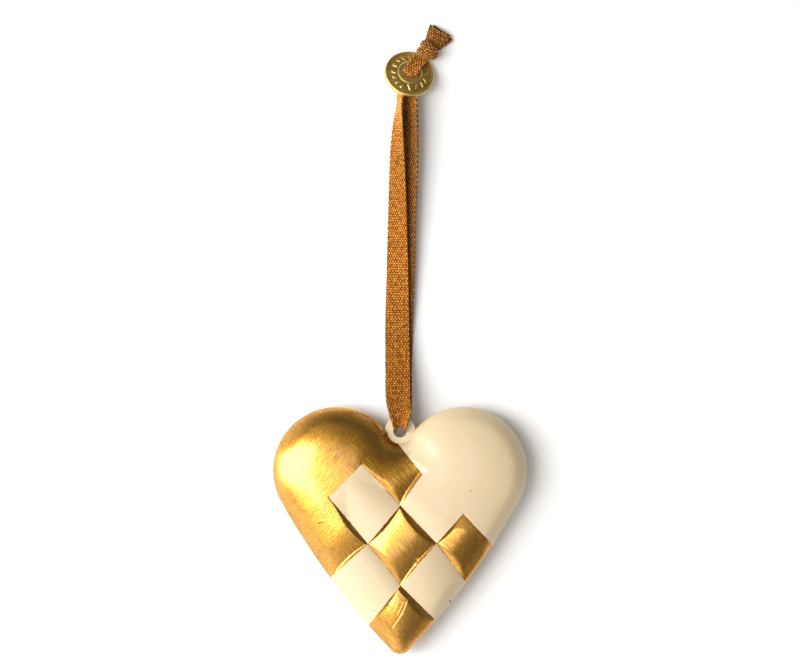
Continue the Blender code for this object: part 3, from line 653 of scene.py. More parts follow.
@dataclass(frozen=True)
class PuffedHeart:
    """The heart: two pressed shells with the weave in relief, joined at a thin seam.

    The rows along the rim are given in millimetres in from the outline, and the shares of a cell's side say
    where the fine rows of the weave's walls run.
    """

    shape: HeartShape
    weave: Weave
    thickness: float = 0.0112
    seam: float = 0.0008
    shoulder: float = 0.017
    relief_fade: float = 0.0035
    rest_flat: float = 0.0003
    cream_round_tab: float = 0.0029
    gold_off_body: float = 0.0039
    valley_rim: float = 0.002
    outline_step: float = 0.00055
    coarse_step: float = 0.000525
    hole_step: float = 0.00022
    lobe_step: float = 0.0006
    from_outline: float = 0.0004
    lobe_gap: float = 0.00042
    wide_rows: float = 1.2
    rim_rows: tuple[float, ...] = (0.06, 0.15, 0.28, 0.45, 0.7, 1.0, 1.4, 1.9, 2.5, 3.2, 4.0)
    shares: tuple[float, ...] = (
        *(0.0, 0.008, 0.018, 0.03, 0.042, 0.055, 0.068, 0.082),
        *(0.1, 0.13, 0.17, 0.22, 0.28, 0.35, 0.42, 0.5),
    )

    @property
    def seam_height(self) -> float:
        """The height of the seam above the table."""
        return self.thickness / 2 - self.rest_flat

    def flat_points(self) -> tuple[np.ndarray, list[tuple[int, int]], np.ndarray]:
        """The points of the flat heart, the edges that stay in it and its outline."""
        outline = self.shape.outline(True, self.outline_step)
        body = self.shape.outline(False, self.outline_step)
        hole = arc(self.shape.tab, self.shape.hole_radius, 0.0, math.tau, self.hole_step)
        hole = np.array([tuple(p) for p in hole])
        run = np.roll(body, -1, axis=0) - np.roll(body, 1, axis=0)
        inward = np.stack([-run[:, 1], run[:, 0]], axis=1) / np.linalg.norm(run, axis=1)[:, None]
        fine = {share for near in self.shares for share in (near, 1 - near)}
        values = sorted({k + share for k in range(self.weave.strips) for share in fine})
        a, b = np.meshgrid(values, values, indexing="ij")
        woven = self.weave.point(a.ravel(), b.ravel())[0]
        woven = woven[inside(woven, body)]
        kept = [woven[edge_distance(woven, body) > self.from_outline]]
        rows = [(body + inward * row * MM)[:: 1 + (row > self.wide_rows)] for row in self.rim_rows]
        depth = np.repeat(self.rim_rows, [len(row) for row in rows]) * MM
        rows = np.concatenate(rows)
        ok = inside(rows, body) & (edge_distance(rows, body) > depth * 0.7)
        kept.append(self.apart(rows[ok], kept, np.clip(depth[ok] * 0.5, 0.0001, 0.0003)))
        steps = np.arange(-self.shape.width / 2, self.shape.width / 2, self.lobe_step)
        x, y = np.meshgrid(steps, steps)
        x = x + (np.arange(len(steps)) % 2)[:, None] * self.lobe_step / 2
        lobes = np.stack([x.ravel(), y.ravel()], axis=1)
        lobes = lobes[inside(lobes, body)]
        lobes = lobes[edge_distance(lobes, body) > self.rim_rows[-1] * MM]
        kept.append(self.apart(lobes, kept, np.full(len(lobes), self.lobe_gap)))
        edges, start = [], 0
        for loop in (outline, hole, body):
            edges += [(start + k, start + (k + 1) % len(loop)) for k in range(len(loop))]
            start += len(loop)
        return np.concatenate([outline, hole, body, *kept]), edges, outline

    @staticmethod
    def apart(points: np.ndarray, earlier: list[np.ndarray], gaps: np.ndarray) -> np.ndarray:
        """The points that aren't too close to any earlier ones."""
        others = np.concatenate(earlier)
        tree = KDTree(len(others))
        for k, other in enumerate(others):
            tree.insert((*other, 0.0), k)
        tree.balance()
        return points[np.array([tree.find((*p, 0.0))[2] for p in points]) > gaps]

    def half_thickness(self, points: np.ndarray) -> tuple[np.ndarray, np.ndarray, np.ndarray]:
        """Half the heart's thickness at points, the distance into the gold and the height over valleys."""
        body = self.shape.outline(False, self.outline_step)
        depth = smooth_depth(points, self.shape.outline(False, self.coarse_step))
        depth = np.minimum(depth, edge_distance(points, body))
        depth = np.where(inside(points, body), depth, 0.0)
        share = np.clip(depth / self.shoulder, 0.0, 1.0)
        dome = ((self.thickness - self.seam) / 2 - self.weave.depth) * np.sqrt(1 - (1 - share) ** 2)
        height, edge = self.weave.relief(points)
        half = self.seam / 2 + dome + height * smooth_step(depth, 0.0, self.relief_fade)
        from_tab = np.linalg.norm(points - np.array(self.shape.tab), axis=1)
        edge = np.minimum(edge, from_tab - np.where(depth > 0.0, self.cream_round_tab, self.gold_off_body))
        # The third value is low in the weave's valleys and on the gold near the tab's notch, where the paint
        # gets painted shade; the rim is kept out of it.
        valley = height + (1 - smooth_step(depth, 0.0, self.valley_rim)) * MM
        return half, edge, np.minimum(valley, np.where(edge > 0, from_tab - self.cream_round_tab, MM) * 0.05)

    def build(self, paint: Material) -> Piece:
        """The heart as one closed mesh.

        Args:
            paint: Its material.

        Returns:
            The object, which stands for the CAD heart.
        """
        points, edges, outline = self.flat_points()
        flat, _, faces, *_ = delaunay_2d_cdt([Vector(p) for p in points], edges, [], 0, 1e-7)
        flat = np.array([tuple(p) for p in flat])
        faces = np.array(faces)
        middles = flat[faces].mean(1)
        from_hole = np.linalg.norm(middles - np.array(self.shape.tab), axis=1)
        keep = np.concatenate([inside(part, outline) for part in np.array_split(middles, 10)])
        faces = faces[keep & (from_hole > self.shape.hole_radius * 0.995)]
        half, edge, valley = self.half_thickness(flat)
        count = len(flat)
        front = np.column_stack([flat, self.seam_height + half])
        back = np.column_stack([flat, np.maximum(0.0, self.seam_height - half)])
        sides = np.sort(np.concatenate([faces[:, [0, 1]], faces[:, [1, 2]], faces[:, [2, 0]]]), axis=1)
        rim, times = np.unique(sides, axis=0, return_counts=True)
        walls = [(p, q, q + count, p + count) for p, q in rim[times == 1]]
        mesh = bpy.data.meshes.new("heart_shells")
        shells = np.concatenate([faces, faces[:, ::-1] + count]).tolist()
        mesh.from_pydata(np.concatenate([front, back]).tolist(), [], [*shells, *walls])
        for name, values in (("paint", edge), ("valley", valley)):
            set_values(mesh, name, np.tile(values, 2))
        tidy(mesh, 38.0)
        made = placed("heart_shells", mesh, paint, Slot.PAINT)
        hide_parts("heart")
        return made


def set_values(mesh: bpy.types.Mesh, name: str, values: np.ndarray) -> None:
    """Gives every point of the mesh a number that its material can read."""
    mesh.attributes.new(name, "FLOAT", "POINT").data.foreach_set("value", values.astype(np.float32))


def tidy(mesh: bpy.types.Mesh, sharp: float) -> None:
    """Drops loose points, faces every side outward and shades the mesh smooth up to an angle."""
    work = bmesh.new()
    work.from_mesh(mesh)
    bmesh.ops.delete(work, geom=[v for v in work.verts if not v.link_faces], context="VERTS")
    bmesh.ops.recalc_face_normals(work, faces=list(work.faces))
    work.to_mesh(mesh)
    work.free()
    mesh.shade_smooth()
    mesh.set_sharp_from_angle(angle=math.radians(sharp))


def placed(name: str, mesh: bpy.types.Mesh, material: Material | None, slot: Slot) -> Piece:
    """A new piece of the ornament, going with its body.

    Args:
        name: The object's name.
        mesh: Its mesh, in the frame.
        material: Its material, or None where the mesh has its own.
        slot: The record's slot for it; not used.

    Returns:
        The object.
    """
    mesh.name = name
    made = bpy.data.objects.new(name, mesh)
    bpy.context.scene.collection.objects.link(made)
    if material:
        mesh.materials.clear()
        mesh.materials.append(material)
    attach(made, "root")
    log.info("%s: %d faces", name, len(mesh.polygons))
    return made


@dataclass(frozen=True)
class BrassDisc:
    """The stamped disc: a low dome with a raised rim and a ring of shallow strokes."""

    tab: Vector
    diameter: float = 0.0125
    thickness: float = 0.0007
    rim_width: float = 0.0008
    rim_height: float = 0.00025
    dome: float = 0.0006
    hole_radius: float = 0.0018
    ridge_radius: float = 0.0028
    ridge_height: float = 0.00016
    tilt: float = math.radians(28)
    turn: float = math.radians(-25)
    from_tab: tuple[float, float] = (0.0023, 0.0892)
    strokes: int = 16
    stroke_depth: float = 0.00014
    turns: int = 360
    round_radius: float = 0.0003
    ridge_width: float = 0.00028
    stroke_zone: tuple[float, float] = (0.0032, 0.0052)
    zone_margin: float = 0.0001
    field: tuple[float, float] = (0.0030, 0.00545)

    @property
    def directions(self) -> tuple[Vector, Vector, Vector]:
        """Along its level line, down its slope and outward."""
        level = Vector((math.cos(self.turn), math.sin(self.turn), 0.0))
        across = Vector((-level.y, level.x, 0.0))
        down = across * math.cos(self.tilt) - Vector((0.0, 0.0, math.sin(self.tilt)))
        return level, down, level.cross(down)

    @property
    def middle(self) -> Vector:
        """The disc's centre, with its low edge on the table."""
        foot = self.diameter / 2 * math.sin(self.tilt) + self.thickness / 2 * math.cos(self.tilt)
        return Vector((self.tab.x + self.from_tab[0], self.tab.y + self.from_tab[1], foot))

    def beside(self, along: float, slope: float, above: float) -> Vector:
        """A point near the disc, in millimetres along its three directions."""
        level, down, outward = self.directions
        return self.middle + MM * (along * level + slope * down + above * outward)

    def stroke_relief(self, radius: np.ndarray, angle: np.ndarray) -> np.ndarray:
        """The share of the full depth of the strokes, which are short bars that spell nothing."""
        seeded = np.random.default_rng(11)
        relief = np.zeros_like(radius)
        for k in range(self.strokes):
            turn = math.tau * (k + seeded.uniform(-0.16, 0.16)) / self.strokes
            low, high = seeded.uniform(3.4, 4.0), seeded.uniform(4.6, 5.05)
            lean, wide = seeded.uniform(-0.6, 0.6), seeded.uniform(0.16, 0.32)
            sideways = np.angle(np.exp(1j * (angle - turn))) * radius / MM
            sideways = sideways - lean * (radius / MM - (low + high) / 2)
            along = np.maximum(low - radius / MM, radius / MM - high)
            bar = smooth_step(-np.maximum(np.abs(sideways) - wide, along), -0.08, 0.1)
            relief = np.maximum(relief, bar)
        return relief

    @property
    def inner(self) -> float:
        """The radius where the rim begins."""
        return self.diameter / 2 - self.rim_width

    def crown(self, radius: np.ndarray) -> np.ndarray:
        """The dome's height at distances from the disc's axis."""
        share = (radius - self.hole_radius) / (self.inner - self.hole_radius)
        return self.dome * (1 - np.clip(share, 0, 1) ** 2)

    def profile(self) -> tuple[np.ndarray, int]:
        """The closed section as radius and height, and how many of its first points are on the top."""
        half, radius, corner = self.thickness / 2, self.diameter / 2, self.round_radius
        (near, far), margin = self.stroke_zone, self.zone_margin
        slope = [np.linspace(self.hole_radius, near - margin, 16), np.linspace(near, far, 34)]
        slope = np.concatenate([*slope, [far + margin, self.inner]])
        ridge = self.ridge_height * np.exp(-(((slope - self.ridge_radius) / self.ridge_width) ** 2))
        top = np.column_stack([slope, half + self.crown(slope) + ridge])
        share = np.linspace(0, 1, 7)
        rise = half + self.rim_height * smooth_step(share, 0.0, 1.0)
        up = np.column_stack([self.inner + self.rim_width * 0.3 * share, rise])[1:]
        over = np.linspace(0.0, math.pi / 2, 7)
        crest = half + self.rim_height - corner + corner * np.cos(over)
        edge = np.column_stack([radius - corner + corner * np.sin(over), crest])
        under = np.column_stack([slope[::-1], self.crown(slope[::-1]) - half])
        return np.concatenate([top, up, edge, [[radius, -half]], under]), len(slope)

    def build(self, brass: Material) -> Piece:
        """The disc as one closed mesh that stands for the CAD disc."""
        profile, on_slope = self.profile()
        rows = len(profile)
        r, angle = np.meshgrid(profile[:, 0], math.tau * np.arange(self.turns) / self.turns)
        on_top = np.arange(rows) < on_slope
        bars = self.stroke_relief(r, angle) * on_top
        z = profile[:, 1] + self.stroke_depth * bars
        low = np.clip((r - self.field[0]) / 0.0004, 0, 1) * np.clip((self.field[1] - r) / 0.0002, 0, 1)
        level, down, outward = (np.array(d) for d in self.directions)
        places = np.array(self.middle) + (r * np.cos(angle))[..., None] * level
        places = places + (r * np.sin(angle))[..., None] * down + z[..., None] * outward
        around, along = np.meshgrid(np.arange(self.turns), np.arange(rows), indexing="ij")
        here, following = around * rows, (around + 1) % self.turns * rows
        after = (along + 1) % rows
        quads = np.stack([here + along, following + along, following + after, here + after], axis=-1)
        mesh = bpy.data.meshes.new("brass_disc")
        mesh.from_pydata(places.reshape(-1, 3).tolist(), [], quads.reshape(-1, 4).tolist())
        set_values(mesh, "low", (low * (1 - bars) * on_top).ravel())
        tidy(mesh, 50.0)
        made = placed("brass_disc", mesh, brass, Slot.BRASS)
        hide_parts("disc")
        return made


def curve_through(values: list, parts: int) -> np.ndarray:
    """Catmull-Rom curve through rows of values, with that many steps between two rows."""
    rows = np.array(values, float)
    rows = np.concatenate([[2 * rows[0] - rows[1]], rows, [2 * rows[-1] - rows[-2]]])
    made = []
    for k in range(1, len(rows) - 2):
        p, q, r, s = rows[k - 1 : k + 3]
        for t in np.arange(parts) / parts:
            bend = (2 * p - 5 * q + 4 * r - s) * t**2 + (3 * q - p - 3 * r + s) * t**3
            made.append(0.5 * (2 * q + (r - p) * t + bend))
    made.append(rows[-2])
    return np.array(made)


def path_length(path: np.ndarray) -> float:
    """The length of a path through points, one a row."""
    return float(np.linalg.norm(np.diff(path, axis=0), axis=1).sum())


@dataclass(frozen=True)
class Cloth:
    """A length of the ribbon as a curled strip, with what its weave needs."""

    name: str
    route: list[Stop]
    threads: int
    fray: float = 0.0
    segments: int = 12
    ring_step: float = 0.0004

    def rings(self) -> tuple[np.ndarray, np.ndarray, np.ndarray, np.ndarray, np.ndarray]:
        """Evenly spaced stations: centre, direction across, direction out, width and curl."""
        rows = [(*point, *across.normalized(), width, curl) for point, across, width, curl in self.route]
        path = curve_through(rows, 24)
        gone = np.concatenate([[0.0], np.cumsum(np.linalg.norm(np.diff(path[:, :3], axis=0), axis=1))])
        even = np.linspace(0.0, gone[-1], max(4, round(gone[-1] / self.ring_step)) + 1)
        path = np.column_stack([np.interp(even, gone, path[:, k]) for k in range(path.shape[1])])
        ahead = np.gradient(path[:, :3], axis=0)
        ahead = ahead / np.linalg.norm(ahead, axis=1)[:, None]
        across = path[:, 3:6] - ahead * (path[:, 3:6] * ahead).sum(1)[:, None]
        across = across / np.linalg.norm(across, axis=1)[:, None]
        curl = np.radians(np.where(abs(path[:, 7]) < 1.0, 1.0, path[:, 7]))
        return path[:, :3], across, np.cross(ahead, across), path[:, 6], curl

    def length(self) -> float:
        """The length of its middle line."""
        return path_length(self.rings()[0])

    def sheet(self) -> Piece:
        """A helper object with the strip's surface and a UV map from 0 to 1 along and across it."""
        centres, across, face, width, curl = self.rings()
        radius = width / curl
        share = np.arange(self.segments + 1) / self.segments
        angles = curl[:, None] * (share[None] - 0.5)
        lift = radius[:, None] * (1 - np.cos(angles)) - (radius * (1 - np.cos(curl / 2)) / 2)[:, None]
        sideways = (radius[:, None] * np.sin(angles))[..., None] * across[:, None]
        places = centres[:, None] + sideways + lift[..., None] * face[:, None]
        count, wide = len(centres), self.segments + 1
        near, k = np.meshgrid(np.arange(count - 1) * wide, np.arange(self.segments), indexing="ij")
        first = near + k
        quads = np.stack([first, first + 1, first + wide + 1, first + wide], axis=-1).reshape(-1, 4)
        mesh = bpy.data.meshes.new(self.name + "_sheet")
        mesh.from_pydata(places.reshape(-1, 3).tolist(), [], quads.tolist())
        uv = np.stack(np.meshgrid(np.arange(count) / (count - 1), share, indexing="ij"), axis=-1)
        uv = uv.reshape(-1, 2)
        mesh.uv_layers.new(name="cloth").data.foreach_set("uv", uv[quads.ravel()].ravel().astype(np.float32))
        made = bpy.data.objects.new(self.name + "_sheet", mesh)
        bpy.context.scene.collection.objects.link(made)
        return made


@dataclass(frozen=True)
class PlainWeave:
    """Geometry Nodes that lay warp and weft threads over a strip of cloth."""

    pitch: float = 0.00063
    warp_radius: float = 0.00016
    weft_radius: float = 0.00012
    warp_height: float = 0.00018
    weft_height: float = 0.00005
    # The thickness of the dark sheet under the threads, which is painted shade.
    shade_sheet: float = 0.00012
    merge_distance: float = 0.000002
    hem: float = 0.03
    last_u: float = 0.9999
    seed: int = 5

    def tree(self) -> bpy.types.NodeTree:
        """The node group, with the numbers of threads and rows as inputs."""
        group = bpy.data.node_groups.new("plain_weave", "GeometryNodeTree")
        kinds = {"Sheet": "Geometry", "Threads": "Int", "Rows": "Int", "Fray": "Float"}
        for name, kind in (kinds | {"Thread": "Material", "ShadeSheet": "Material"}).items():
            group.interface.new_socket(name, in_out="INPUT", socket_type="NodeSocket" + kind)
        group.interface.new_socket("Cloth", in_out="OUTPUT", socket_type="NodeSocketGeometry")
        tree = Tree(group)
        given = tree.add("NodeGroupInput").node.outputs
        sheet = given["Sheet"]
        ends = tree.maths("SUBTRACT", given["Threads"], 1.0)
        warp, weft = (self.laid(tree, given, is_warp, ends) for is_warp in (True, False))
        # Painted shade: a dark closed sheet just under the threads stands for the shade in the gaps of the
        # weave.
        inputs = {"Mesh": sheet, "Offset Scale": self.shade_sheet, "Individual": False}
        thick = tree.add("GeometryNodeExtrudeMesh", inputs)
        flipped = tree.add("GeometryNodeFlipFaces", {0: sheet})
        closed = tree.add("GeometryNodeJoinGeometry", {0: [flipped, thick]})
        inputs = {"Geometry": closed, "Distance": self.merge_distance}
        merged = tree.add("GeometryNodeMergeByDistance", inputs)
        dark = tree.add("GeometryNodeSetMaterial", {"Geometry": merged, "Material": given["ShadeSheet"]})
        joined = tree.add("GeometryNodeJoinGeometry", {0: [dark, warp, weft]})
        real = tree.add("GeometryNodeRealizeInstances", {0: joined})
        tree.put(group.nodes.new("NodeGroupOutput").inputs[0], real)
        return group

    def laid(self, tree: Tree, given: bpy.types.bpy_prop_collection, is_warp: bool, ends: Socket) -> Socket:
        """One set of threads: straight lines in the strip's UV space, set on its surface.

        Args:
            tree: The tree that they are added to.
            given: The group's inputs.
            is_warp: Whether they run along the strip.
            ends: The number of spaces between warp threads.

        Returns:
            The threads as closed tubes.
        """
        step, number, _ = tree.split(tree.add("GeometryNodeInputPosition"))
        sheet, rows = given["Sheet"], given["Rows"]
        if is_warp:
            lines, stations = given["Threads"], tree.times_add(rows, 4.0, 1.0)
            row = tree.maths("DIVIDE", step, 4.0)
            inputs = {"ID": number, "Seed": self.seed, 2: 0.0, 3: 1.0}
            shorter = tree.add("FunctionNodeRandomValue", inputs, 1, data_type="FLOAT")
            left = tree.maths("SUBTRACT", 1.0, tree.times(shorter, given["Fray"]))
            u = tree.times(tree.maths("DIVIDE", row, rows), left)
            v = tree.maths("DIVIDE", number, ends)
            phase = tree.maths("ADD", row, number)
            lift, radius, corners = self.warp_height, self.warp_radius, 5
        else:
            lines, stations = rows, tree.times_add(ends, 2.0, 1.0)
            u = tree.maths("DIVIDE", number, rows)
            v = tree.maths("DIVIDE", step, tree.times(ends, 2.0))
            phase = tree.maths("ADD", tree.maths("ADD", number, tree.maths("DIVIDE", step, 2.0)), 1.0)
            lift, radius, corners = self.weft_height, self.weft_radius, 4
        line = tree.add("GeometryNodeMeshLine", {"Count": stations, "Offset": (1.0, 0.0, 0.0)})
        starts = tree.add("GeometryNodeMeshLine", {"Count": lines, "Offset": (0.0, 1.0, 0.0)})
        thread = tree.add("GeometryNodeMeshToCurve", {0: line})
        copies = tree.add("GeometryNodeInstanceOnPoints", {"Points": starts, "Instance": thread})
        curves = tree.add("GeometryNodeRealizeInstances", {0: copies})
        inset = tree.times_add(v, 1.0 - 2 * self.hem, self.hem)
        spot = tree.add("ShaderNodeCombineXYZ", {0: tree.maths("MINIMUM", u, self.last_u), 1: inset})
        uv = tree.add("GeometryNodeInputNamedAttribute", {"Name": "cloth"}, data_type="FLOAT_VECTOR")
        found = []
        for value in ("GeometryNodeInputPosition", "GeometryNodeInputNormal"):
            inputs = {"Mesh": sheet, "Value": tree.add(value), "Source UV Map": uv, "Sample UV": spot}
            found.append(tree.add("GeometryNodeSampleUVSurface", inputs, data_type="FLOAT_VECTOR"))
        height = tree.times(tree.maths("COSINE", tree.times(phase, math.pi)), lift)
        target = tree.vector("ADD", found[0], tree.vector("SCALE", found[1], height))
        moved = tree.add("GeometryNodeSetPosition", {"Geometry": curves, "Position": target})
        ring = tree.add("GeometryNodeCurvePrimitiveCircle", {"Resolution": corners, "Radius": radius})
        inputs = {"Curve": moved, "Profile Curve": ring, "Fill Caps": True}
        smooth = tree.add("GeometryNodeSetShadeSmooth", {0: tree.add("GeometryNodeCurveToMesh", inputs)})
        return tree.add("GeometryNodeSetMaterial", {"Geometry": smooth, "Material": given["Thread"]})

    def woven(
        self, group: bpy.types.NodeTree, cloth: Cloth, thread: Material, shade_sheet: Material
    ) -> bpy.types.Mesh:
        """The mesh of a length of cloth with its threads.

        Args:
            group: The node group.
            cloth: The length of ribbon.
            thread: The threads' material.
            shade_sheet: The dark material between them, which stands for painted shade.

        Returns:
            A plain mesh in the frame.
        """
        sheet = cloth.sheet()
        modifier = sheet.modifiers.new("weave", "NODES")
        modifier.node_group = group
        rows = max(2, round(cloth.length() / self.pitch))
        values = {"Threads": cloth.threads, "Rows": rows, "Fray": cloth.fray}
        values |= {"Thread": thread, "ShadeSheet": shade_sheet}
        for item in group.interface.items_tree:
            if item.in_out == "INPUT" and item.name in values:
                modifier[item.identifier] = values[item.name]
        bpy.context.view_layer.update()
        mesh = bpy.data.meshes.new_from_object(sheet.evaluated_get(bpy.context.evaluated_depsgraph_get()))
        sheet.modifiers.clear()
        bpy.data.objects.remove(sheet)
        return mesh


@dataclass(frozen=True)
class Ribbon:
    """The ribbon: two strands of the loop, the knot beyond the disc and two cut ends."""

    tab: Vector
    seam_height: float
    disc: BrassDisc
    width: float = 0.0062
    thickness: float = 0.0004
    gathered: float = 0.0031
    clearance: float = 0.0003
    hole_radius: float = 0.00172
    knot_height: float = 0.00275
    tail_length: float = 0.0061
    tail_heading: float = 60.0
    knot_heading: float = 65.0
    knot_core: float = 0.0016
    wrap_curl: float = 140.0
    threads: int = 17
    gathered_threads: int = 10

    def beyond(self, x: float, y: float, z: float) -> Vector:
        """A point in millimetres from the tab's centre, at a height above the table."""
        return Vector((self.tab.x + x * MM, self.tab.y + y * MM, z * MM))

    @property
    def knot(self) -> Vector:
        """The middle of the knot."""
        return self.beyond(7.1, 95.1, self.knot_height / MM)

    @staticmethod
    def rolled(degrees: float) -> Vector:
        """The direction across a strand that is tipped to the left."""
        return Vector((math.cos(math.radians(degrees)), 0.0, math.sin(math.radians(degrees))))

    def past(
        self, x: float, y: float, z: float, across: Vector, width: float = 0.0, curl: float = 0.0
    ) -> Stop:
        """A stop beyond the tab; it has the ribbon's full width if none is given."""
        return self.beyond(x, y, z), across, width or self.width, curl

    def hole(self, y: float, z: float, width: float, curl: float) -> Stop:
        """A stop at the tab's hole, in millimetres from its centre and at a height from the seam."""
        point = Vector((self.tab.x, self.tab.y + y * MM, self.seam_height + z * MM))
        return point, self.rolled(0), width, curl

    def on(self, along: float, slope: float, above: float, width: float, curl: float = 0.0) -> Stop:
        """A stop near the disc, in millimetres along its three directions."""
        return self.disc.beside(along, slope, above), self.disc.directions[0], width, curl

    def routes(self) -> dict[str, list[Stop]]:
        """The ribbon's route in four lengths."""
        level = self.disc.directions[0]
        on, past, hole, rolled = self.on, self.past, self.hole, self.rolled
        wide, slim, knot = self.width, self.gathered, self.knot
        folded = slim * 1.08
        curled = (self.hole_radius - self.clearance - self.thickness / 2) * math.radians(225)
        front_top = [
            (knot + Vector((-0.1, -0.2, 0.4)) * MM, level, folded, 0),
            on(1.15, 4.9, 2.5, folded, 10),
            on(0.6, 2.6, 2.45, folded, 20),
            on(0.3, 0.9, 2.25, folded, 10),
            on(0.1, -0.35, 1.55, slim * 1.18, -80),
            on(0.0, -0.6, 0.5, slim * 1.3, -140),
            on(0.0, -0.6, -0.5, slim * 1.3, -120),
            past(1.65, 87.5, 2.35, Vector((0.85, -0.4, 0.3)), slim * 1.15),
        ]
        front = [
            past(1.65, 87.5, 2.35, Vector((0.85, -0.4, 0.3)), slim * 1.15),
            past(1.1, 86.2, 2.1, Vector((0.7, -0.2, 0.65)), 0.0038),
            past(0.5, 84.6, 2.35, Vector((0.42, -0.05, 0.9)), 0.0044),
            past(0.0, 82.4, 3.0, rolled(78), 0.0056),
            past(-0.5, 76.4, 3.15, rolled(67)),
            past(-0.65, 68.4, 2.8, rolled(54)),
            past(-0.62, 56.4, 2.45, rolled(43)),
            past(-0.62, 48.4, 2.2, rolled(36)),
            past(-0.62, 38.4, 1.85, rolled(27)),
            past(-0.7, 27.4, 1.75, rolled(14)),
            past(-0.65, 20.4, 2.5, rolled(8)),
            past(-0.6, 14.4, 4.0, rolled(4), wide, 5),
            past(-0.5, 8.4, 6.0, rolled(0), wide, 20),
            hole(4.6, 1.85, wide * 0.93, 60),
            hole(2.7, 2.15, wide * 0.85, 115),
            hole(1.35, 1.85, wide * 0.78, 185),
            hole(0.45, 1.0, curled, 225),
            hole(0.36, 0.0, curled, 225),
        ]
        back = [
            hole(0.36, 0.0, curled, 225),
            hole(0.45, -1.0, curled, 225),
            hole(1.35, -1.85, wide * 0.78, 185),
            hole(2.7, -2.3, wide * 0.85, 115),
            hole(4.6, -2.7, wide * 0.93, 50),
            past(-0.1, 8.4, 1.9, rolled(0), wide, 10),
            past(-0.15, 14.4, 0.9, rolled(0)),
            past(0.0, 20.4, 0.5, rolled(3)),
            past(0.18, 26.4, 0.75, rolled(8)),
            past(0.7, 38.4, 1.25, rolled(18)),
            past(1.09, 48.4, 1.65, rolled(26)),
            past(1.55, 56.4, 2.0, rolled(34)),
            past(2.27, 68.4, 2.45, rolled(44)),
            past(2.5, 76.4, 2.7, rolled(50)),
            past(2.6, 82.4, 2.8, rolled(55), 0.0058),
            past(2.6, 84.3, 2.35, Vector((0.72, -0.1, 0.62)), 0.0044),
            past(2.5, 85.9, 1.6, Vector((0.78, -0.25, 0.55)), 0.0041),
            past(2.35, 87.3, 1.25, Vector((0.88, -0.4, 0.2)), 0.0033),
        ]
        back_top = [
            past(2.35, 87.3, 1.25, Vector((0.88, -0.4, 0.2)), 0.0033),
            on(0.1, 0.3, -1.9, slim, -20),
            on(0.0, 0.55, -1.0, slim * 1.2, -100),
            on(0.0, 0.6, 0.2, slim * 1.3, -140),
            on(0.05, 0.7, 1.1, slim * 0.88, -50),
            on(0.2, 1.5, 1.66, slim * 0.94),
            on(0.4, 2.5, 1.6, folded, 10),
            on(1.0, 4.7, 1.7, folded, 10),
            (knot + Vector((0.1, 0.2, -0.4)) * MM, level, folded, 0),
        ]
        return {"front": front, "front_top": front_top, "back": back, "back_top": back_top}

    def tail_route(self, turn: float, drop: float) -> list[Stop]:
        """One cut end, fanning out of the knot."""
        heading = math.radians(self.tail_heading + turn)
        ahead = Vector((math.cos(heading), math.sin(heading), 0.0))
        across = Vector((ahead.y, -ahead.x, 0.0))
        start = self.knot - Vector((0.0, 0.0, drop * 0.5))
        end = start + ahead * self.tail_length - Vector((0.0, 0.0, drop))
        stops = ((0.0, 0.45, 20), (0.35, 0.66, 40), (0.7, 0.86, 25), (1.0, 0.98, 15))
        return [(start.lerp(end, far), across, self.width * share, curl) for far, share, curl in stops]

    def wrap_route(self, shift: float, lean: float, radius: float, width: float) -> list[Stop]:
        """One turn of the ribbon round the knot, bulging outward."""
        middle, heading = math.radians(self.knot_heading), math.radians(self.knot_heading + lean)
        ahead = Vector((math.cos(heading), math.sin(heading), 0.0))
        sideways = Vector((ahead.y, -ahead.x, 0.0))
        centre = self.knot + Vector((math.cos(middle), math.sin(middle), 0.0)) * shift
        stops = []
        for k in range(13):
            angle = math.radians(-100 + 30 * k)
            out = math.cos(angle) * sideways * 1.2 + math.sin(angle) * Vector((0.0, 0.0, 0.85))
            stops.append((centre + out * radius, ahead, width, self.wrap_curl))
        return stops

    def build(self, disc_piece: Piece, weave: PlainWeave, thread: Material, shade_sheet: Material) -> None:
        """Makes the strands, the knot and the cut ends.

        Args:
            disc_piece: The disc that the strands pass through.
            weave: How threads are laid.
            thread: The threads' material.
            shade_sheet: The dark material between them, which stands for painted shade.
        """
        group = weave.tree()
        routes = self.routes()

        def woven(*cloths: Cloth) -> list[bpy.types.Mesh]:
            """The meshes of lengths of cloth."""
            return [weave.woven(group, cloth, thread, shade_sheet) for cloth in cloths]

        wraps = woven(
            Cloth("wrap_low", self.wrap_route(-0.0006, 16.0, 0.00185, 0.0031), 9),
            Cloth("wrap_high", self.wrap_route(0.0006, -18.0, 0.0018, 0.0027), 8),
        )
        knot = self.joined("ribbon_knot", [*wraps, self.core(shade_sheet)])
        tails = {
            "ribbon_upper_end": Cloth("upper_end", self.tail_route(0.0, 0.001), self.threads, fray=0.09),
            "ribbon_lower_end": Cloth("lower_end", self.tail_route(-9.0, 0.0014), self.threads, fray=0.12),
        }
        ends = [self.joined(name, woven(cloth)) for name, cloth in tails.items()]
        carried = {Strand.FRONT: [disc_piece, knot, *ends], Strand.BACK: []}
        for which, part in ((Strand.FRONT, "front"), (Strand.BACK, "back")):
            lower = Cloth(part, routes[part], self.threads)
            upper = Cloth(part + "_top", routes[part + "_top"], self.gathered_threads)
            strand = self.joined(which.value, woven(lower, upper))
            if which is Strand.FRONT:
                path = np.concatenate([upper.rings()[0], lower.rings()[0][1:]])[::-1]
            else:
                path = np.concatenate([lower.rings()[0], upper.rings()[0]])
            self.declare(strand, path, carried[which])
            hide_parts("ribbon")
        for piece in (knot, *ends):
            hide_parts("ribbon")

    def declare(self, strand: Piece, path: np.ndarray, pieces: list[Piece]) -> None:
        """Logs the length of a strand's path."""
        length = path_length(path)
        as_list(pieces)
        log.info("%s: %.1f mm long", strand.name, length / MM)

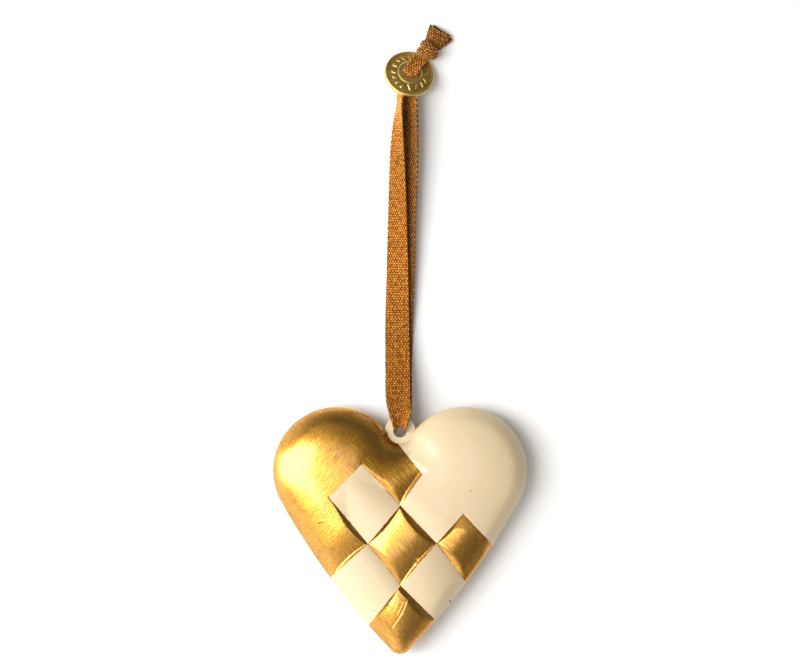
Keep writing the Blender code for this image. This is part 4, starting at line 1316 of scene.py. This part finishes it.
    def core(self, shade_sheet: Material) -> bpy.types.Mesh:
        """The hidden middle of the knot, in the dark material that stands for painted shade between threads.
        """
        work = bmesh.new()
        bmesh.ops.create_uvsphere(work, u_segments=20, v_segments=12, radius=self.knot_core)
        bmesh.ops.transform(work, verts=list(work.verts), matrix=Matrix.Translation(self.knot))
        mesh = bpy.data.meshes.new("knot_core")
        work.to_mesh(mesh)
        work.free()
        mesh.materials.append(shade_sheet)
        return mesh

    def joined(self, name: str, meshes: list[bpy.types.Mesh]) -> Piece:
        """One piece out of several meshes, with their materials kept."""
        parts = []
        for mesh in meshes:
            part = bpy.data.objects.new(name + "_part", mesh)
            bpy.context.scene.collection.objects.link(part)
            parts.append(part)
        if len(parts) > 1:
            with bpy.context.temp_override(active_object=parts[0], selected_editable_objects=parts):
                bpy.ops.object.join()
        mesh = parts[0].data
        bpy.data.objects.remove(parts[0])
        return placed(name, mesh, None, Slot.CLOTH)


@dataclass(frozen=True)
class Studio:
    """A pale table, a soft light from the left and a camera that looks straight down."""

    view_centre: tuple[float, float] = (0.0, 0.04925)
    camera_height: float = 1.1163
    lens: float = 200.0
    sensor: float = 36.0
    table: float = 1.6
    zenith: float = 0.47
    to_right: float = -1.0
    to_top: float = -0.62
    horizon: float = 0.16
    darkest: float = 0.14
    tint: tuple[float, float, float, float] = (1.0, 0.97, 0.92, 1.0)
    key_power: float = 6.4
    key_size: tuple[float, float] = (0.36, 0.98)
    key_place: tuple[float, float, float] = (-0.53, 0.05, 0.46)
    fill_power: float = 1.1
    fill_size: tuple[float, float] = (0.28, 0.9)
    fill_place: tuple[float, float, float] = (-0.3, 0.04, 0.6)

    def build(self) -> None:
        """Makes the table, the light and the camera."""
        work = bmesh.new()
        bmesh.ops.create_grid(work, x_segments=1, y_segments=1, size=self.table / 2)
        mesh = bpy.data.meshes.new("table")
        work.to_mesh(mesh)
        work.free()
        mesh.materials.append(PlainMatt("white table", "#f4f4f4", 0.7).build())
        table = bpy.data.objects.new("table", mesh)
        bpy.context.scene.collection.objects.link(table)
        self.light("key", self.key_place, self.key_size, self.key_power)
        self.light("fill", self.fill_place, self.fill_size, self.fill_power)
        self.surroundings()
        self.camera()

    def light(
        self, name: str, place: tuple[float, float, float], size: tuple[float, float], power: float
    ) -> None:
        """A soft rectangular light that points at the heart."""
        lamp = bpy.data.lights.new(name, "AREA")
        lamp.shape = "RECTANGLE"
        lamp.size, lamp.size_y = size
        lamp.energy = power
        made = bpy.data.objects.new(name, lamp)
        made.location = place
        made.rotation_euler = (Vector((0.0, 0.01, 0.0)) - Vector(place)).to_track_quat("-Z", "Y").to_euler()
        bpy.context.scene.collection.objects.link(made)

    def surroundings(self) -> None:
        """A grey studio that is brighter on the left and at the bottom, and dark on the right."""
        world = bpy.data.worlds.new("studio")
        world.use_nodes = True
        tree = Tree(world.node_tree)
        x, y, z = tree.split(tree.add("ShaderNodeTexCoord", output="Generated"))
        light = tree.times_add(x, self.to_right, self.zenith)
        light = tree.times_add(y, self.to_top, light)
        low = tree.maths("SUBTRACT", 1.0, tree.maths("MAXIMUM", z, 0.0))
        low = tree.times(tree.times(low, low), self.horizon)
        light = tree.maths("ADD", tree.maths("MAXIMUM", light, self.darkest), low)
        shader = world.node_tree.nodes["Background"]
        tree.put(shader.inputs["Strength"], light)
        tree.put(shader.inputs["Color"], self.tint)
        bpy.context.scene.world = world

    def camera(self) -> None:
        """The camera, with the image's up along +Y."""
        data = bpy.data.cameras.new("camera")
        data.lens = self.lens
        data.sensor_width = self.sensor
        data.clip_start = 0.01
        data.dof.use_dof = False
        made = bpy.data.objects.new("camera", data)
        made.location = (*self.view_centre, self.camera_height)
        bpy.context.scene.collection.objects.link(made)
        bpy.context.scene.camera = made
        bpy.context.scene.view_settings.view_transform = "Standard"


def write_size() -> None:
    """Updates the view layer."""
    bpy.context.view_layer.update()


def main() -> None:
    """Builds every piece and the studio."""
    logging.basicConfig(level=logging.INFO, format="%(name)s: %(message)s")
    write_size()
    shape = HeartShape()
    heart = PuffedHeart(shape, Weave(shape.width / 2))
    heart.build(HeartPaint().build())
    disc = BrassDisc(shape.tab)
    disc_piece = disc.build(StampedBrass().build())
    ribbon = Ribbon(shape.tab, heart.seam_height, disc)
    # Painted shade: a dark material for the sheet between the threads and for the knot's core.
    shade_sheet = PlainMatt("shade between threads", "#3c1c02").build()
    ribbon.build(disc_piece, PlainWeave(), SatinThread().build(), shade_sheet)
    Studio().build()
    write_size()


if __name__ == "__main__":
    main()
